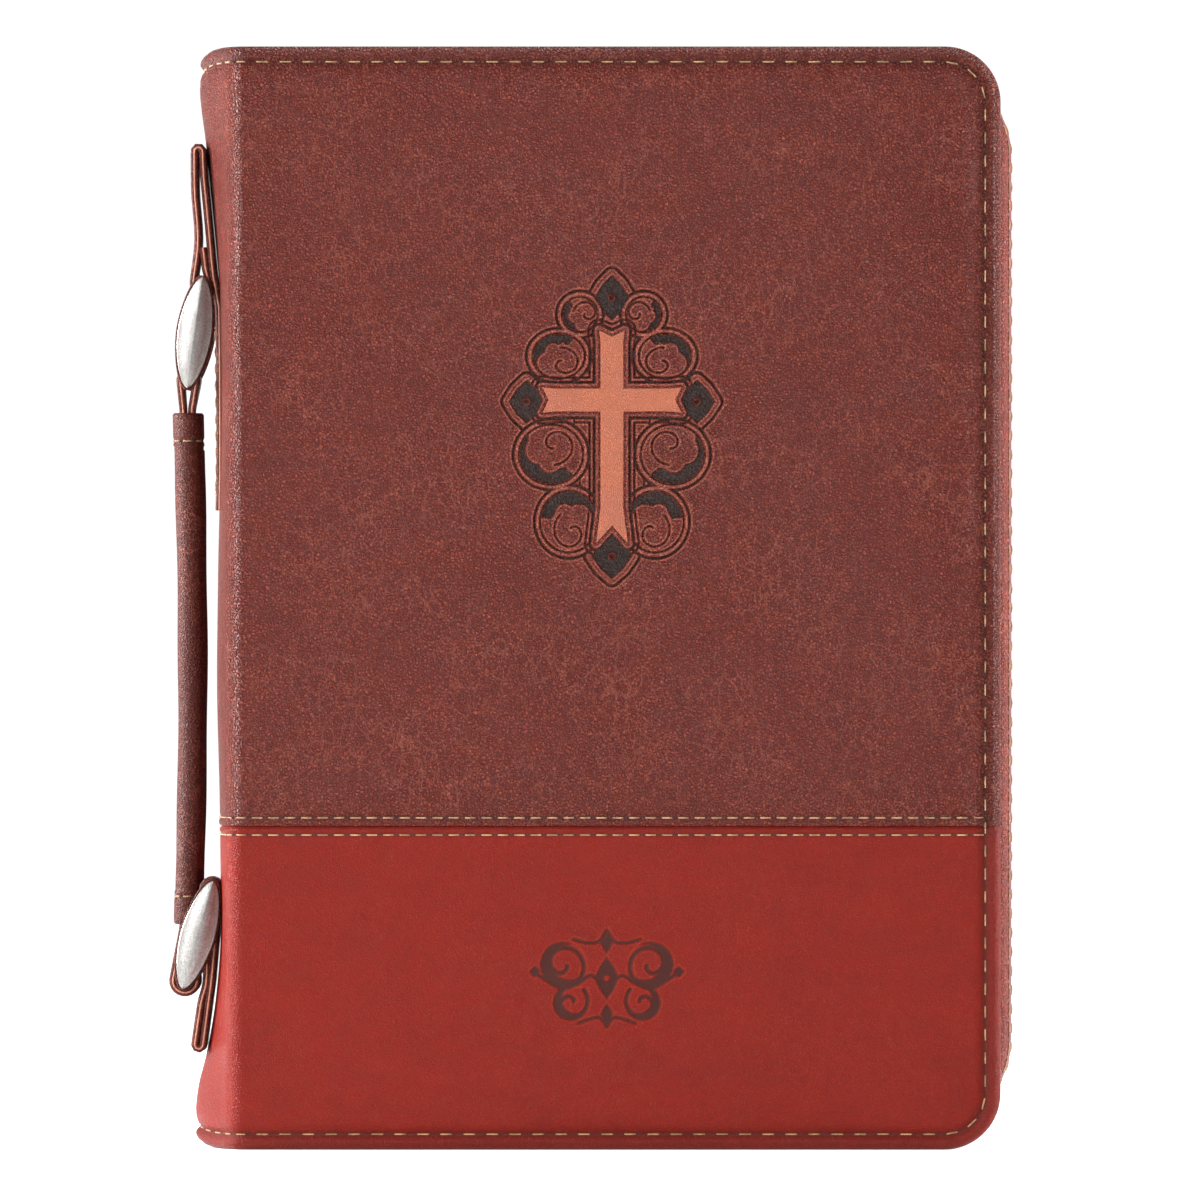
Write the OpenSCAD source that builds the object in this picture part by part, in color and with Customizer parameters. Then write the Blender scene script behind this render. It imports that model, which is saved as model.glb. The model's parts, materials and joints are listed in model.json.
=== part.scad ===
// Zip-around leather carrying case for a bible, standing upright, with the bible inside it.
// +Z is up, the spine and its handle are at -X, the zipped fore-edge is at +X, and the front
// cover faces -Y.  The origin is on the resting plane, under the middle of the whole case.

/* [Case] */
// Height of the closed case
case_h = 276; // [240:1:300]
// Thickness of the closed case, over both covers
case_t = 52; // [48:1:60]
// Place of the two folds between spine and covers
fold_x = -91; // [-95:0.5:-80]
// Place of the covers' fore-edge
fore_x = 102.25; // [90:0.25:110]
// Radius of the covers' corners at the fore-edge
cover_corner_r = 14; // [8:1:20]
// How far the rounded spine stands out past the folds
spine_bulge = 2.4; // [1:0.1:4]
// Height of the seam between the lower band and the upper leather
seam_z = 81; // [50:1:120]

/* [Layers] */
// Thickness of the outer leather
leather_t = 1.2; // [0.8:0.1:1.6]
// Thickness of the foam under the leather
foam_t = 1.5; // [1:0.1:2]
// Thickness of the stiffening board
board_t = 1.5; // [1:0.1:2]
// Thickness of the lining cloth
lining_t = 0.5; // [0.3:0.1:0.8]
// Thickness of the inner sleeve that holds the bible's cover
sleeve_t = 0.8; // [0.5:0.1:1]

/* [Zip] */
// How far the gusset stands out past the covers' fore-edge
gusset_bulge = 3; // [1:0.5:4]
// How far the gusset is set in from the covers' top and bottom edges
gusset_drop = 5; // [4:0.5:8]
// Outer corner radius of the gusset
gusset_corner_r = 22; // [16:1:30]
// Half width of the zip that shows between the two gussets
zip_half_w = 5; // [4:0.5:6]
// Width of the coil on one side of the zip
coil_w = 1.5; // [1:0.1:2]
// Height of the coil
coil_h = 1.9; // [1.5:0.1:2.2]
// Place of the slider when the zip is closed
slider_x = -70; // [-74:1:-40]

/* [Bible] */
// Height of the bible's covers
bible_h = 248; // [200:1:248]
// Width of the bible's covers
bible_w = 167.5; // [120:0.5:167]
// Thickness of one cover of the bible
bible_cover_t = 1.7; // [1:0.1:1.8]
// How far the leaves are set in from the bible's covers
leaf_inset = 3; // [2:0.5:5]

/* [Handle] */
// Width of the flat straps
strap_w = 17.6; // [14:0.2:20]
// Thickness of the flat straps
strap_t = 1.1; // [0.8:0.1:1.2]
// Distance between the two bars of one metal link
link_l = 24; // [20:0.5:26]
// Radius of the links' bars
bar_r = 0.9; // [0.7:0.1:1]
// Radius of the rolled grip
grip_r = 3.6; // [3:0.1:3.7]
// Tilt of the upper link where it hangs at rest
upper_tilt = 8; // [4:1:12]
// Tilt of the lower link where it hangs at rest
lower_tilt = 16; // [12:1:18]

/* [Emblem] */
// Middle of the cross, across the cover
cross_x = 5; // [-10:1:20]
// Height of the middle of the cross's arms
cross_z = 187.5; // [170:0.5:200]
// Width of the cross's stem and arms
cross_bar_w = 5.8; // [5:0.2:8]
// Depth to which the cross is let into the cover
inlay_t = 0.5; // [0.3:0.1:0.8]

/* [Hidden] */

$fn = 64;
fit = 0.1;                        // gap between pieces that lie on each other
half_t = case_t / 2;

// Depths below a cover's outer face, counted inwards
foam_d = leather_t;
board_d = foam_d + foam_t;
lining_d = board_d + board_t;
inside_d = lining_d + lining_t;   // inner face of the lining, where the gusset is sewn on
bible_cover_d = inside_d + fit;
sleeve_d = bible_cover_d + bible_cover_t + fit;
leaves_d = sleeve_d + sleeve_t + 2 * fit;
leaf_split = 0.25;                // half of the slot that the ribbon lies in

inner_left = fold_x + 4.5;        // left edge of a cover's foam, board and lining
bible_left = fold_x + 5.5;        // left edge of the bible's covers
leaves_left = fold_x + 7;         // the leaves' spine edge, which is their hinge
bible_bottom = (case_h - bible_h) / 2;
bible_right = bible_left + bible_w;
leaves_right = bible_right - leaf_inset;

gusset_left = fold_x + 9;
gusset_x = fore_x + gusset_bulge;
flange_w = 7;                     // strip of the gusset that is sewn flat to the cover
flange_t = 1;
tape_t = 0.5;
tape_lap = 4;                     // strip of the tape that is sewn under the gusset
coil_gap = 0.4;                   // half of the space between the two coils
coil_left = gusset_left + 2.5;
coil_edge = coil_gap + coil_w;

sleeve_left = 30;
sleeve_right = gusset_x - flange_w - 1;
sleeve_bottom = gusset_drop + flange_w + 0.5;

spine_r = (pow(half_t, 2) + pow(spine_bulge, 2)) / (2 * spine_bulge);
spine_cx = fold_x - spine_bulge + spine_r;
spine_face_x = fold_x - spine_bulge;
anchor_x = spine_face_x - strap_t / 2 - fit / 2;
bible_spine_x = bible_left - 1.9;
bible_spine_t = 1.5;

// The handle's four pivots, as [x, z]
function swing(tilt) = [-sin(tilt), -cos(tilt)];
strap_slack = 0.2;                // play of a strap's loop on its bar
open_slack = 1;                   // play of the loop at the fourth, open pivot
upper_pivot = [spine_face_x - 4.6, 216.5];
grip_top_pivot = upper_pivot + link_l * swing(upper_tilt);
lower_pivot = [spine_face_x - 2.2, 65];
grip_bottom_pivot = lower_pivot + link_l * swing(lower_tilt);
grip_x = grip_top_pivot[0] - 0.36;
grip_z0 = 56;
grip_z1 = 184.5;
grip_wall = 1.2;
neck_l = 6;                       // length of strap inside each end of the grip

backing_t = 0.9;
backing_y = strap_w / 2 + 0.2;
leaf_half_l = link_l / 2 + 2;
leaf_half_w = 4.3;
leaf_point = 1.7;                 // below 2 the leaf is sharper than an ellipse
leaf_plate_t = 0.8;
leaf_ridge_h = 2.2;

zip_top = case_h - gusset_drop;   // outer face of the coil along the top
slider_l = 12;
slider_half_w = 4.4;
plate_t = 1.2;
pull_z = zip_top + 3.2;
pull_pin_r = 0.6;
pull_eye_r = 1.3;
pull_l = 9;
ear_in = 1.6;
ear_out = 2.4;

leather_dark = [0.49, 0.26, 0.23];
leather_red = [0.59, 0.21, 0.16];
leather_tan = [0.80, 0.47, 0.35];
lining_brown = [0.30, 0.20, 0.16];
foam_grey = [0.45, 0.45, 0.45];
board_grey = [0.60, 0.56, 0.50];
paper_cream = [0.93, 0.90, 0.82];
bible_black = [0.12, 0.10, 0.10];
old_silver = [0.70, 0.68, 0.66];

// ---- Shared shapes ----

// Outline of a cover, in X and Z: square corners on the left, round corners on the right
module edge_outline(x0, x1, z0, z1, r) {
    translate([x0, z0]) square([x1 - x0 - r, z1 - z0]);
    translate([x0, z0 + r]) square([x1 - x0, z1 - z0 - 2 * r]);
    for (z = [z0 + r, z1 - r])
        translate([x1 - r, z]) circle(r);
}

module cover_outline(inset, left) {
    edge_outline(left, fore_x - inset, inset, case_h - inset, cover_corner_r - inset);
}

module gusset_outline(inset, left) {
    edge_outline(left, gusset_x - inset, gusset_drop + inset, case_h - gusset_drop - inset,
                 gusset_corner_r - inset);
}

// A flat layer of the front cover, between two depths below its outer face
module layer(depth, t) {
    translate([0, depth + t - half_t, 0])
        rotate([90, 0, 0])
            linear_extrude(t) children();
}

// The same piece for the back cover
module on_back() {
    mirror([0, 1, 0]) children();
}

// Turns an outline in X and Z into a solid of width w, centred on the case
module across(w) {
    rotate([90, 0, 0])
        linear_extrude(w, center = true) children();
}

module between_z(z0, z1) {
    intersection() {
        children();
        translate([-2 * case_h, -case_h, z0]) cube([4 * case_h, 2 * case_h, z1 - z0]);
    }
}

// What lies on one side of the 45 degree mitre at the front fold: 1 is the spine's side,
// -1 is the cover's side
module fold_wedge(side) {
    reach = 10;
    corner = [-side * reach, side * reach];
    translate([fold_x + side * fit, -half_t, -1])
        linear_extrude(case_h + 2)
            polygon([[-reach, -reach], corner, [reach, reach]]);
}

// ---- Covers ----

module cover_skin() {
    difference() {
        layer(0, inside_d) cover_outline(0, fold_x);
        layer(leather_t, case_t) cover_outline(leather_t, fold_x - 1);
        fold_wedge(1);
    }
}

module cover_foam() {
    layer(foam_d, foam_t) cover_outline(leather_t + fit, inner_left);
}

module cover_board() {
    layer(board_d, board_t) cover_outline(leather_t + fit, inner_left);
}

module cover_lining() {
    layer(lining_d, lining_t) cover_outline(leather_t + fit, inner_left);
}

// Pocket of lining leather, open towards the spine, that the bible's cover slides into
module cover_sleeve() {
    pocket_inset = 0.2;
    difference() {
        layer(inside_d, sleeve_d + sleeve_t - inside_d)
            edge_outline(sleeve_left, sleeve_right, sleeve_bottom, case_h - sleeve_bottom,
                         gusset_corner_r - flange_w);
        layer(inside_d - 1, sleeve_d - inside_d + 1)
            translate([sleeve_left - 1, bible_bottom - pocket_inset])
                square([bible_right + 1 + pocket_inset - sleeve_left, bible_h + 2 * pocket_inset]);
    }
}

module cover_gusset() {
    difference() {
        layer(inside_d, half_t - zip_half_w - inside_d) gusset_outline(0, gusset_left);
        layer(inside_d + flange_t, case_t) gusset_outline(leather_t, gusset_left - 1);
        layer(0, case_t) gusset_outline(flange_w, gusset_left - 1);
    }
}

// A ring that follows the gusset, between two insets and two distances from the zip's middle
module zip_ring(inset, t, y0, y1, left) {
    difference() {
        layer(half_t - y1, y1 - y0) gusset_outline(inset, left);
        layer(half_t - y1 - 1, y1 - y0 + 2) gusset_outline(inset + t, left - 1);
    }
}

module zip_tape() {
    zip_ring(leather_t, tape_t, coil_edge, zip_half_w + tape_lap, gusset_left);
}

module zip_coil() {
    zip_ring(0, coil_h, coil_gap, coil_edge, coil_left);
}

module zip_stops() {
    stop_l = coil_left - gusset_left - 2 * fit;
    intersection() {
        zip_ring(0, coil_h + 2 * fit, coil_gap, coil_edge, gusset_left);
        translate([gusset_left + fit, -half_t, 0]) cube([stop_l, half_t, case_h]);
    }
}

// ---- Bible ----

module bible_cover() {
    layer(bible_cover_d, bible_cover_t)
        edge_outline(bible_left, bible_right, bible_bottom, bible_bottom + bible_h, 3);
}

module bible_leaves() {
    layer(leaves_d, half_t - leaf_split - leaves_d)
        edge_outline(leaves_left, leaves_right, bible_bottom + leaf_inset,
                     bible_bottom + bible_h - leaf_inset, 2.5);
}

// Cloth bands at the two ends of the leaves' spine edge
module headbands() {
    band = 2;
    for (z = [bible_bottom + leaf_inset - band, bible_bottom + bible_h - leaf_inset])
        layer(leaves_d, half_t - leaf_split - leaves_d)
            translate([leaves_left, z]) square(band);
}

// ---- Spine ----

// One layer of the rounded spine, between two depths below its outer face
module spine_layer(depth, t, half_w, z0, z1) {
    translate([0, 0, z0])
        linear_extrude(z1 - z0)
            intersection() {
                difference() {
                    translate([spine_cx, 0]) circle(spine_r - depth);
                    translate([spine_cx, 0]) circle(spine_r - depth - t);
                }
                translate([spine_face_x - 1, -half_w]) square([case_t, 2 * half_w]);
            }
}

module spine_skin(z0, z1) {
    difference() {
        spine_layer(0, leather_t, half_t, z0, z1);
        fold_wedge(-1);
        on_back() fold_wedge(-1);
    }
}

// ---- Handle ----

// Flat strap seen edge-on: straight runs of thickness strap_t through a list of points
module strap_run(points) {
    for (i = [0 : len(points) - 2]) {
        step = points[i + 1] - points[i];
        translate(points[i])
            rotate(atan2(step[1], step[0]))
                translate([0, -strap_t / 2]) square([norm(step), strap_t]);
    }
    for (p = points)
        translate(p) circle(strap_t / 2);
}

// Strap with a loop of the given play round a bar
module looped_strap(pivot, slack, runs) {
    hole_r = bar_r + slack;
    across(strap_w)
        difference() {
            union() {
                translate(pivot) circle(hole_r + strap_t);
                for (points = runs) strap_run(points);
            }
            translate(pivot) circle(hole_r);
        }
}

// Points half way round a fold of radius r, from its right side to its left side
function fold_points(centre, r, side) =
    [for (a = [0 : 30 : 180]) centre + r * [cos(a), side * sin(a)]];

function leaf_side(v, power) = sign(v) * pow(abs(v), power);

// Leaf shape lengthwise along Z, grown by a margin
module leaf_outline(margin) {
    steps = 40;
    polygon([for (i = [0 : steps - 1])
        let (a = 360 * (i + 0.5) / steps)
        [(leaf_half_w + margin) * leaf_side(cos(a), 2 / leaf_point),
         (leaf_half_l + margin) * leaf_side(sin(a), 2 / leaf_point)]]);
}

// Places a leaf on the line between a link's two bars, lying in X and Z
module on_link(pivot, tilt) {
    middle = pivot + link_l / 2 * swing(tilt);
    translate([middle[0], 0, middle[1]])
        rotate([90, tilt, 0]) children();
}

module leaf_plate() {
    hull() {
        linear_extrude(leaf_plate_t) leaf_outline(0);
        linear_extrude(leaf_ridge_h)
            square([0.3, 1.7 * leaf_half_l], center = true);
    }
}

// Two ridged leaves joined by a bar near each end
module handle_link(pivot, tilt) {
    for (side = [0, 1])
        mirror([0, side, 0])
            on_link(pivot, tilt)
                translate([0, 0, backing_y + backing_t]) leaf_plate();
    for (p = [pivot, pivot + link_l * swing(tilt)])
        translate([p[0], 0, p[1]])
            rotate([90, 0, 0])
                cylinder(r = bar_r, h = 2 * (backing_y + backing_t + leaf_plate_t / 2), center = true);
}

// Leather leaf behind each metal leaf
module link_backing(pivot, tilt) {
    difference() {
        for (side = [0, 1])
            mirror([0, side, 0])
                on_link(pivot, tilt)
                    translate([0, 0, backing_y]) linear_extrude(backing_t) leaf_outline(0.5);
        for (p = [pivot, pivot + link_l * swing(tilt)])
            translate([p[0], 0, p[1]])
                rotate([90, 0, 0])
                    cylinder(r = bar_r, h = 4 * backing_y, center = true);
    }
}

// Two strap legs from a loop to the grip's end, with a neck that goes into the grip
module grip_strap(pivot, slack, end_z, inward) {
    leg = bar_r + slack + strap_t / 2;
    lead = 0.8;
    foot = [grip_x, end_z - inward * lead];
    looped_strap(pivot, slack, [
        [pivot - [leg, 0], foot - [strap_t, 0]],
        [pivot + [leg, 0], foot + [strap_t, 0]],
    ]);
    translate([grip_x, 0, end_z + inward * (neck_l - lead) / 2])
        cube([2 * strap_t, 2 * strap_t, neck_l + lead], center = true);
}

// ---- Emblem ----

// One arm of the cross, pointing along +Y, with a flared, notched end
module cross_arm(reach, flare, notch) {
    half = cross_bar_w / 2;
    polygon([[-half, 0], [-half, reach - 2 * notch], [-half - flare, reach], [0, reach - notch],
             [half + flare, reach], [half, reach - 2 * notch], [half, 0]]);
}

module cross_shape() {
    arm = 17.4;
    foot = 35.9;
    translate([cross_x, cross_z]) {
        for (a = [-90, 0, 90])
            rotate(a) cross_arm(arm, 0.3, 1.5);
        rotate(180) cross_arm(foot, 1.1, 4.5);
    }
}

// ---- Sub-parts: front cover ----

module front_upper_panel() {
    color(leather_dark)
        difference() {
            between_z(seam_z, case_h) cover_skin();
            layer(-1, inlay_t + 1) cross_shape();
        }
}

module front_lower_band() {
    color(leather_red) between_z(0, seam_z) cover_skin();
}

module front_foam() {
    color(foam_grey) cover_foam();
}

module front_board() {
    color(board_grey) cover_board();
}

module front_lining() {
    color(lining_brown) cover_lining();
}

module front_sleeve() {
    color(lining_brown) cover_sleeve();
}

module front_gusset() {
    color(leather_dark) cover_gusset();
}

module zip_tape_front() {
    color(lining_brown) zip_tape();
}

module zip_coil_front() {
    color(lining_brown) zip_coil();
}

module zip_stops_front() {
    color(old_silver) zip_stops();
}

module bible_front_cover() {
    color(bible_black) bible_cover();
}

module cross_inlay() {
    color(leather_tan) layer(0, inlay_t) cross_shape();
}

// ---- Sub-parts: back cover ----

module back_upper_panel() {
    color(leather_dark) on_back() between_z(seam_z, case_h) cover_skin();
}

module back_lower_band() {
    color(leather_red) on_back() between_z(0, seam_z) cover_skin();
}

module back_foam() {
    color(foam_grey) on_back() cover_foam();
}

module back_board() {
    color(board_grey) on_back() cover_board();
}

module back_lining() {
    color(lining_brown) on_back() cover_lining();
}

module back_sleeve() {
    color(lining_brown) on_back() cover_sleeve();
}

module back_gusset() {
    color(leather_dark) on_back() cover_gusset();
}

module zip_tape_back() {
    color(lining_brown) on_back() zip_tape();
}

module zip_coil_back() {
    color(lining_brown) on_back() zip_coil();
}

module zip_stops_back() {
    color(old_silver) on_back() zip_stops();
}

module bible_back_cover() {
    color(bible_black) on_back() bible_cover();
}

module bible_back_leaves() {
    color(paper_cream) on_back() bible_leaves();
}

module back_headbands() {
    color(leather_red) on_back() headbands();
}

module ribbon_marker() {
    ribbon_w = 6;
    ribbon_t = 0.3;
    tail_z = 10;
    color("darkred")
        translate([leaves_left + 14, -ribbon_t / 2, tail_z])
            cube([ribbon_w, ribbon_t, bible_bottom + bible_h - leaf_inset - tail_z]);
}

// ---- Sub-parts: spine ----

module spine_upper_panel() {
    color(leather_dark) spine_skin(seam_z, case_h);
}

module spine_lower_band() {
    color(leather_red) spine_skin(0, seam_z);
}

module spine_board() {
    color(board_grey) spine_layer(board_d - foam_t + fit, board_t, half_t - 5, 2, case_h - 2);
}

module spine_lining() {
    color(lining_brown)
        spine_layer(lining_d - foam_t + 2 * fit, lining_t, half_t - 4, 2, case_h - 2);
}

module bible_spine() {
    color(bible_black)
        translate([bible_spine_x, bible_cover_d - half_t, bible_bottom])
            cube([bible_spine_t, case_t - 2 * bible_cover_d, bible_h]);
}

// Sewn to the spine at its lower end, folded back at the top and looped round the upper link
module upper_anchor_strap() {
    fold_r = 1.5;
    fold_c = [anchor_x - 5, 250.2];
    sewn_z = 160;
    color(leather_dark)
        looped_strap(upper_pivot, strap_slack, [
            concat([[anchor_x, sewn_z], [anchor_x, 212]],
                   fold_points(fold_c, fold_r, 1),
                   [[anchor_x - 4.9, 228],
                    upper_pivot - [bar_r + strap_slack + strap_t / 2, 0]]),
        ]);
}

// The same at the bottom: the fold hangs down and the loop holds the lower link's top bar
module lower_anchor_strap() {
    fold_r = 1.5;
    fold_c = [anchor_x - 4.7, 25.8];
    color(leather_dark)
        looped_strap(lower_pivot, strap_slack, [
            concat([[anchor_x, 60], [anchor_x, 54]],
                   fold_points(fold_c, fold_r, -1),
                   [[anchor_x - 2.7, 43],
                    lower_pivot - [bar_r + strap_slack + strap_t / 2, 0]]),
        ]);
}

// ---- Sub-parts: leaves that turn with the front cover ----

module bible_front_leaves() {
    color(paper_cream) bible_leaves();
}

module front_headbands() {
    color(leather_red) headbands();
}

// ---- Sub-parts: zip slider and pull ----

// Two plates joined by a thin post between the coils; a lip hooks behind the back coil only,
// so the front coil can leave sideways when the case opens
module slider_body() {
    nose = 2.5;
    under = zip_top - coil_h - 0.3;
    over = zip_top + 0.3;
    color(old_silver) {
        for (z = [under - plate_t, over])
            translate([slider_x, 0, z])
                linear_extrude(plate_t)
                    polygon([[-slider_l / 2, -nose], [slider_l / 2, -slider_half_w],
                             [slider_l / 2, slider_half_w], [-slider_l / 2, nose]]);
        translate([slider_x - 1.5, -0.25, under]) cube([3, 0.5, over - under]);
        translate([slider_x + 0.5, coil_edge + 0.4, zip_top - 1])
            cube([slider_l / 2 - 0.5, 0.8, over - zip_top + 1]);
        for (side = [0, 1])
            mirror([0, side, 0])
                difference() {
                    translate([slider_x - 1.6, ear_in, over + plate_t])
                        cube([3.2, ear_out - ear_in, pull_z + 1.2 - over - plate_t]);
                    translate([slider_x, 0, pull_z])
                        rotate([90, 0, 0]) cylinder(r = pull_pin_r, h = 3 * ear_out, center = true);
                }
    }
}

module pull_pin() {
    color(old_silver)
        translate([slider_x, 0, pull_z])
            rotate([90, 0, 0]) cylinder(r = pull_pin_r, h = 2 * ear_out, center = true);
}

// Metal link from the pin to the leather tab, lying along the zip
module pull_tab() {
    play = 0.05;
    neck_w = 2 * ear_in - 0.4;
    color(old_silver)
        difference() {
            union() {
                translate([slider_x, 0, pull_z])
                    rotate([90, 0, 0]) cylinder(r = pull_eye_r, h = neck_w, center = true);
                translate([slider_x, -neck_w / 2, pull_z - 0.5]) cube([pull_l + 4, neck_w, 1]);
            }
            translate([slider_x, 0, pull_z])
                rotate([90, 0, 0])
                    cylinder(r = pull_pin_r + play, h = 2 * neck_w, center = true);
        }
}

module pull_leather() {
    tab_l = 18;
    tab_w = 7;
    tab_t = 2;
    neck_w = 2 * ear_in - 0.4;
    color(leather_red)
        translate([slider_x + pull_l, 0, pull_z])
            difference() {
                translate([0, 0, -tab_t / 2])
                    linear_extrude(tab_t) {
                        translate([0, -tab_w / 2]) square([tab_l - tab_w / 2, tab_w]);
                        translate([tab_l - tab_w / 2, 0]) circle(tab_w / 2);
                    }
                translate([-1, -neck_w / 2, -0.5]) cube([5, neck_w, 1]);
            }
}

// ---- Sub-parts: handle ----

module upper_handle_link() {
    color(old_silver) handle_link(upper_pivot, upper_tilt);
}

module upper_link_backing() {
    color(leather_dark) link_backing(upper_pivot, upper_tilt);
}

module lower_handle_link() {
    color(old_silver) handle_link(lower_pivot, lower_tilt);
}

module lower_link_backing() {
    color(leather_dark) link_backing(lower_pivot, lower_tilt);
}

module grip_core() {
    color(board_grey)
        translate([grip_x, 0, grip_z0 + neck_l])
            cylinder(r = grip_r - grip_wall, h = grip_z1 - grip_z0 - 2 * neck_l);
}

module grip_sleeve() {
    color(leather_dark)
        translate([grip_x, 0, grip_z0])
            difference() {
                cylinder(r = grip_r, h = grip_z1 - grip_z0);
                translate([0, 0, -1])
                    cylinder(r = grip_r - grip_wall, h = grip_z1 - grip_z0 + 2);
            }
}

module grip_upper_strap() {
    color(leather_dark) grip_strap(grip_top_pivot, strap_slack, grip_z1, -1);
}

module grip_lower_strap() {
    color(leather_dark) grip_strap(grip_bottom_pivot, open_slack, grip_z0, 1);
}

back_upper_panel();
back_lower_band();
back_foam();
back_board();
back_lining();
back_sleeve();
back_gusset();
zip_tape_back();
zip_coil_back();
zip_stops_back();
bible_back_cover();
bible_back_leaves();
back_headbands();
ribbon_marker();
spine_upper_panel();
spine_lower_band();
spine_board();
spine_lining();
bible_spine();
upper_anchor_strap();
lower_anchor_strap();
front_upper_panel();
front_lower_band();
front_foam();
front_board();
front_lining();
front_sleeve();
front_gusset();
zip_tape_front();
zip_coil_front();
zip_stops_front();
bible_front_cover();
cross_inlay();
bible_front_leaves();
front_headbands();
slider_body();
pull_pin();
pull_tab();
pull_leather();
upper_handle_link();
upper_link_backing();
lower_handle_link();
lower_link_backing();
grip_core();
grip_sleeve();
grip_upper_strap();
grip_lower_strap();
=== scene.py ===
import json
import math

import bpy
import numpy as np
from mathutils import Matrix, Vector


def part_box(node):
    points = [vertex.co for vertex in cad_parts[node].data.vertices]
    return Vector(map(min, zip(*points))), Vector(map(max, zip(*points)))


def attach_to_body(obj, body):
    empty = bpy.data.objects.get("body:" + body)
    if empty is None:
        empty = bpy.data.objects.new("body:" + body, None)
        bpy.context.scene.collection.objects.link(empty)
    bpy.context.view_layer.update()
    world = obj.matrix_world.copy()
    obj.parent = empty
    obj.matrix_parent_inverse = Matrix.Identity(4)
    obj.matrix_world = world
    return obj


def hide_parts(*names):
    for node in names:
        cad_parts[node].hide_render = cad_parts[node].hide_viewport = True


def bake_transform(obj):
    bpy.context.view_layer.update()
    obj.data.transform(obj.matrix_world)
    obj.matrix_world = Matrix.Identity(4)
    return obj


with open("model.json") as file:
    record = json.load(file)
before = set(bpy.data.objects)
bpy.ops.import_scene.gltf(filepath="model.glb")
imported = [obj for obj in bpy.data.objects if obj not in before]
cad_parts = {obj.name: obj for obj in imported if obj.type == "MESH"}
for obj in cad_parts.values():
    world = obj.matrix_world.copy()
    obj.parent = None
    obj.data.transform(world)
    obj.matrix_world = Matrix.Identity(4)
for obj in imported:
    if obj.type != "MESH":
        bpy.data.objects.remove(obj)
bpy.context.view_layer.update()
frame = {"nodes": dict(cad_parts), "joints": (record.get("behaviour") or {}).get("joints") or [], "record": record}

# Shapes are worked out in millimetres, in the CAD model's frame, and turned into metres when
# a mesh is made.  -Y is the front cover, -X is the spine and the handle, +Z is up.
MM = 0.001


def joint_mm(name):
    """The place of a CAD joint."""
    joint = next(j for j in frame["joints"] if j["name"] == name)
    return Vector(joint["pos_m"]) / MM


def box_mm(node):
    low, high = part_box(node)
    return low / MM, high / MM


FOLD_X = joint_mm("front_fold").x
HALF_T = -joint_mm("front_fold").y
PANEL_LOW, PANEL_HIGH = box_mm("front_upper_panel")
FORE_X = PANEL_HIGH.x
TOP_Z = round(PANEL_HIGH.z, 3)
SEAM_Z = round(PANEL_LOW.z, 3)
SPINE_X = box_mm("spine_upper_panel")[0].x
CORNER_R = 14.0
FRONT, BACK = -1, 1


# ---------------------------------------------------------------- mesh helpers


def new_mesh(name, points, faces, body=None, slot=None, material=None, sharp=40, **attributes):
    """A mesh object from points in millimetres.  attributes are stored on its points."""
    mesh = bpy.data.meshes.new(name)
    mesh.from_pydata((np.asarray(points, float) * MM).tolist(), [], faces)
    for key, values in attributes.items():
        values = np.asarray(values, np.float32)
        kind = "FLOAT" if values.ndim == 1 else "FLOAT_VECTOR"
        layer = mesh.attributes.new(key, kind, "POINT")
        layer.data.foreach_set("value" if kind == "FLOAT" else "vector", values.ravel())
    mesh.shade_smooth()
    mesh.set_sharp_from_angle(angle=math.radians(sharp))
    piece = bpy.data.objects.new(name, mesh)
    bpy.context.scene.collection.objects.link(piece)
    if material:
        mesh.materials.append(material)
    if body:
        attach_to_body(piece, body)
    return piece


def grid_faces(rows, cols, close_cols=False, close_rows=False, start=0):
    """Quads over a rows x cols grid of points that are numbered row by row."""
    index = start + np.arange(rows * cols).reshape(rows, cols)
    if close_cols:
        index = np.hstack([index, index[:, :1]])
    if close_rows:
        index = np.vstack([index, index[:1]])
    quads = np.stack([index[:-1, :-1], index[:-1, 1:], index[1:, 1:], index[1:, :-1]], axis=-1)
    return quads.reshape(-1, 4).tolist()


def swept_faces(rings, count, start=0, closed=False):
    """Faces of a tube of rings, with its two ends capped unless it closes on itself."""
    faces = grid_faces(rings, count, close_cols=True, close_rows=closed, start=start)
    if not closed:
        faces.append([start + i for i in reversed(range(count))])
        faces.append([start + (rings - 1) * count + i for i in range(count)])
    return faces


def swept(name, rings, closed=False, **options):
    """A solid through equal rings of points, given as an array of rings x points x 3."""
    rings = np.asarray(rings, float)
    count, size = rings.shape[:2]
    return new_mesh(name, rings.reshape(-1, 3), swept_faces(count, size, closed=closed), **options)


def joined(parts):
    """One list of points and one of faces from several."""
    points, faces, start = [], [], 0
    for part_points, part_faces in parts:
        points.append(np.asarray(part_points, float))
        faces += [[start + i for i in face] for face in part_faces]
        start += len(part_points)
    return np.vstack(points), faces


def unit(vectors):
    """The vectors at length 1."""
    return vectors / np.linalg.norm(vectors, axis=-1, keepdims=True)


def smooth_step(t):
    """0 below 0, 1 above 1, and a smooth slope between."""
    t = np.clip(t, 0, 1)
    return t * t * (3 - 2 * t)


def bell(t):
    """1 at zero, falling to nothing at about 2."""
    return np.exp(-np.square(t))


def resample(points, step):
    """Points at an equal step along a polyline."""
    points = np.asarray(points, float)
    length = np.concatenate([[0], np.cumsum(np.linalg.norm(np.diff(points, axis=0), axis=1))])
    count = max(2, int(round(length[-1] / step)) + 1)
    at = np.linspace(0, length[-1], count)
    return np.stack([np.interp(at, length, points[:, k]) for k in range(points.shape[1])], axis=1)


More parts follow.
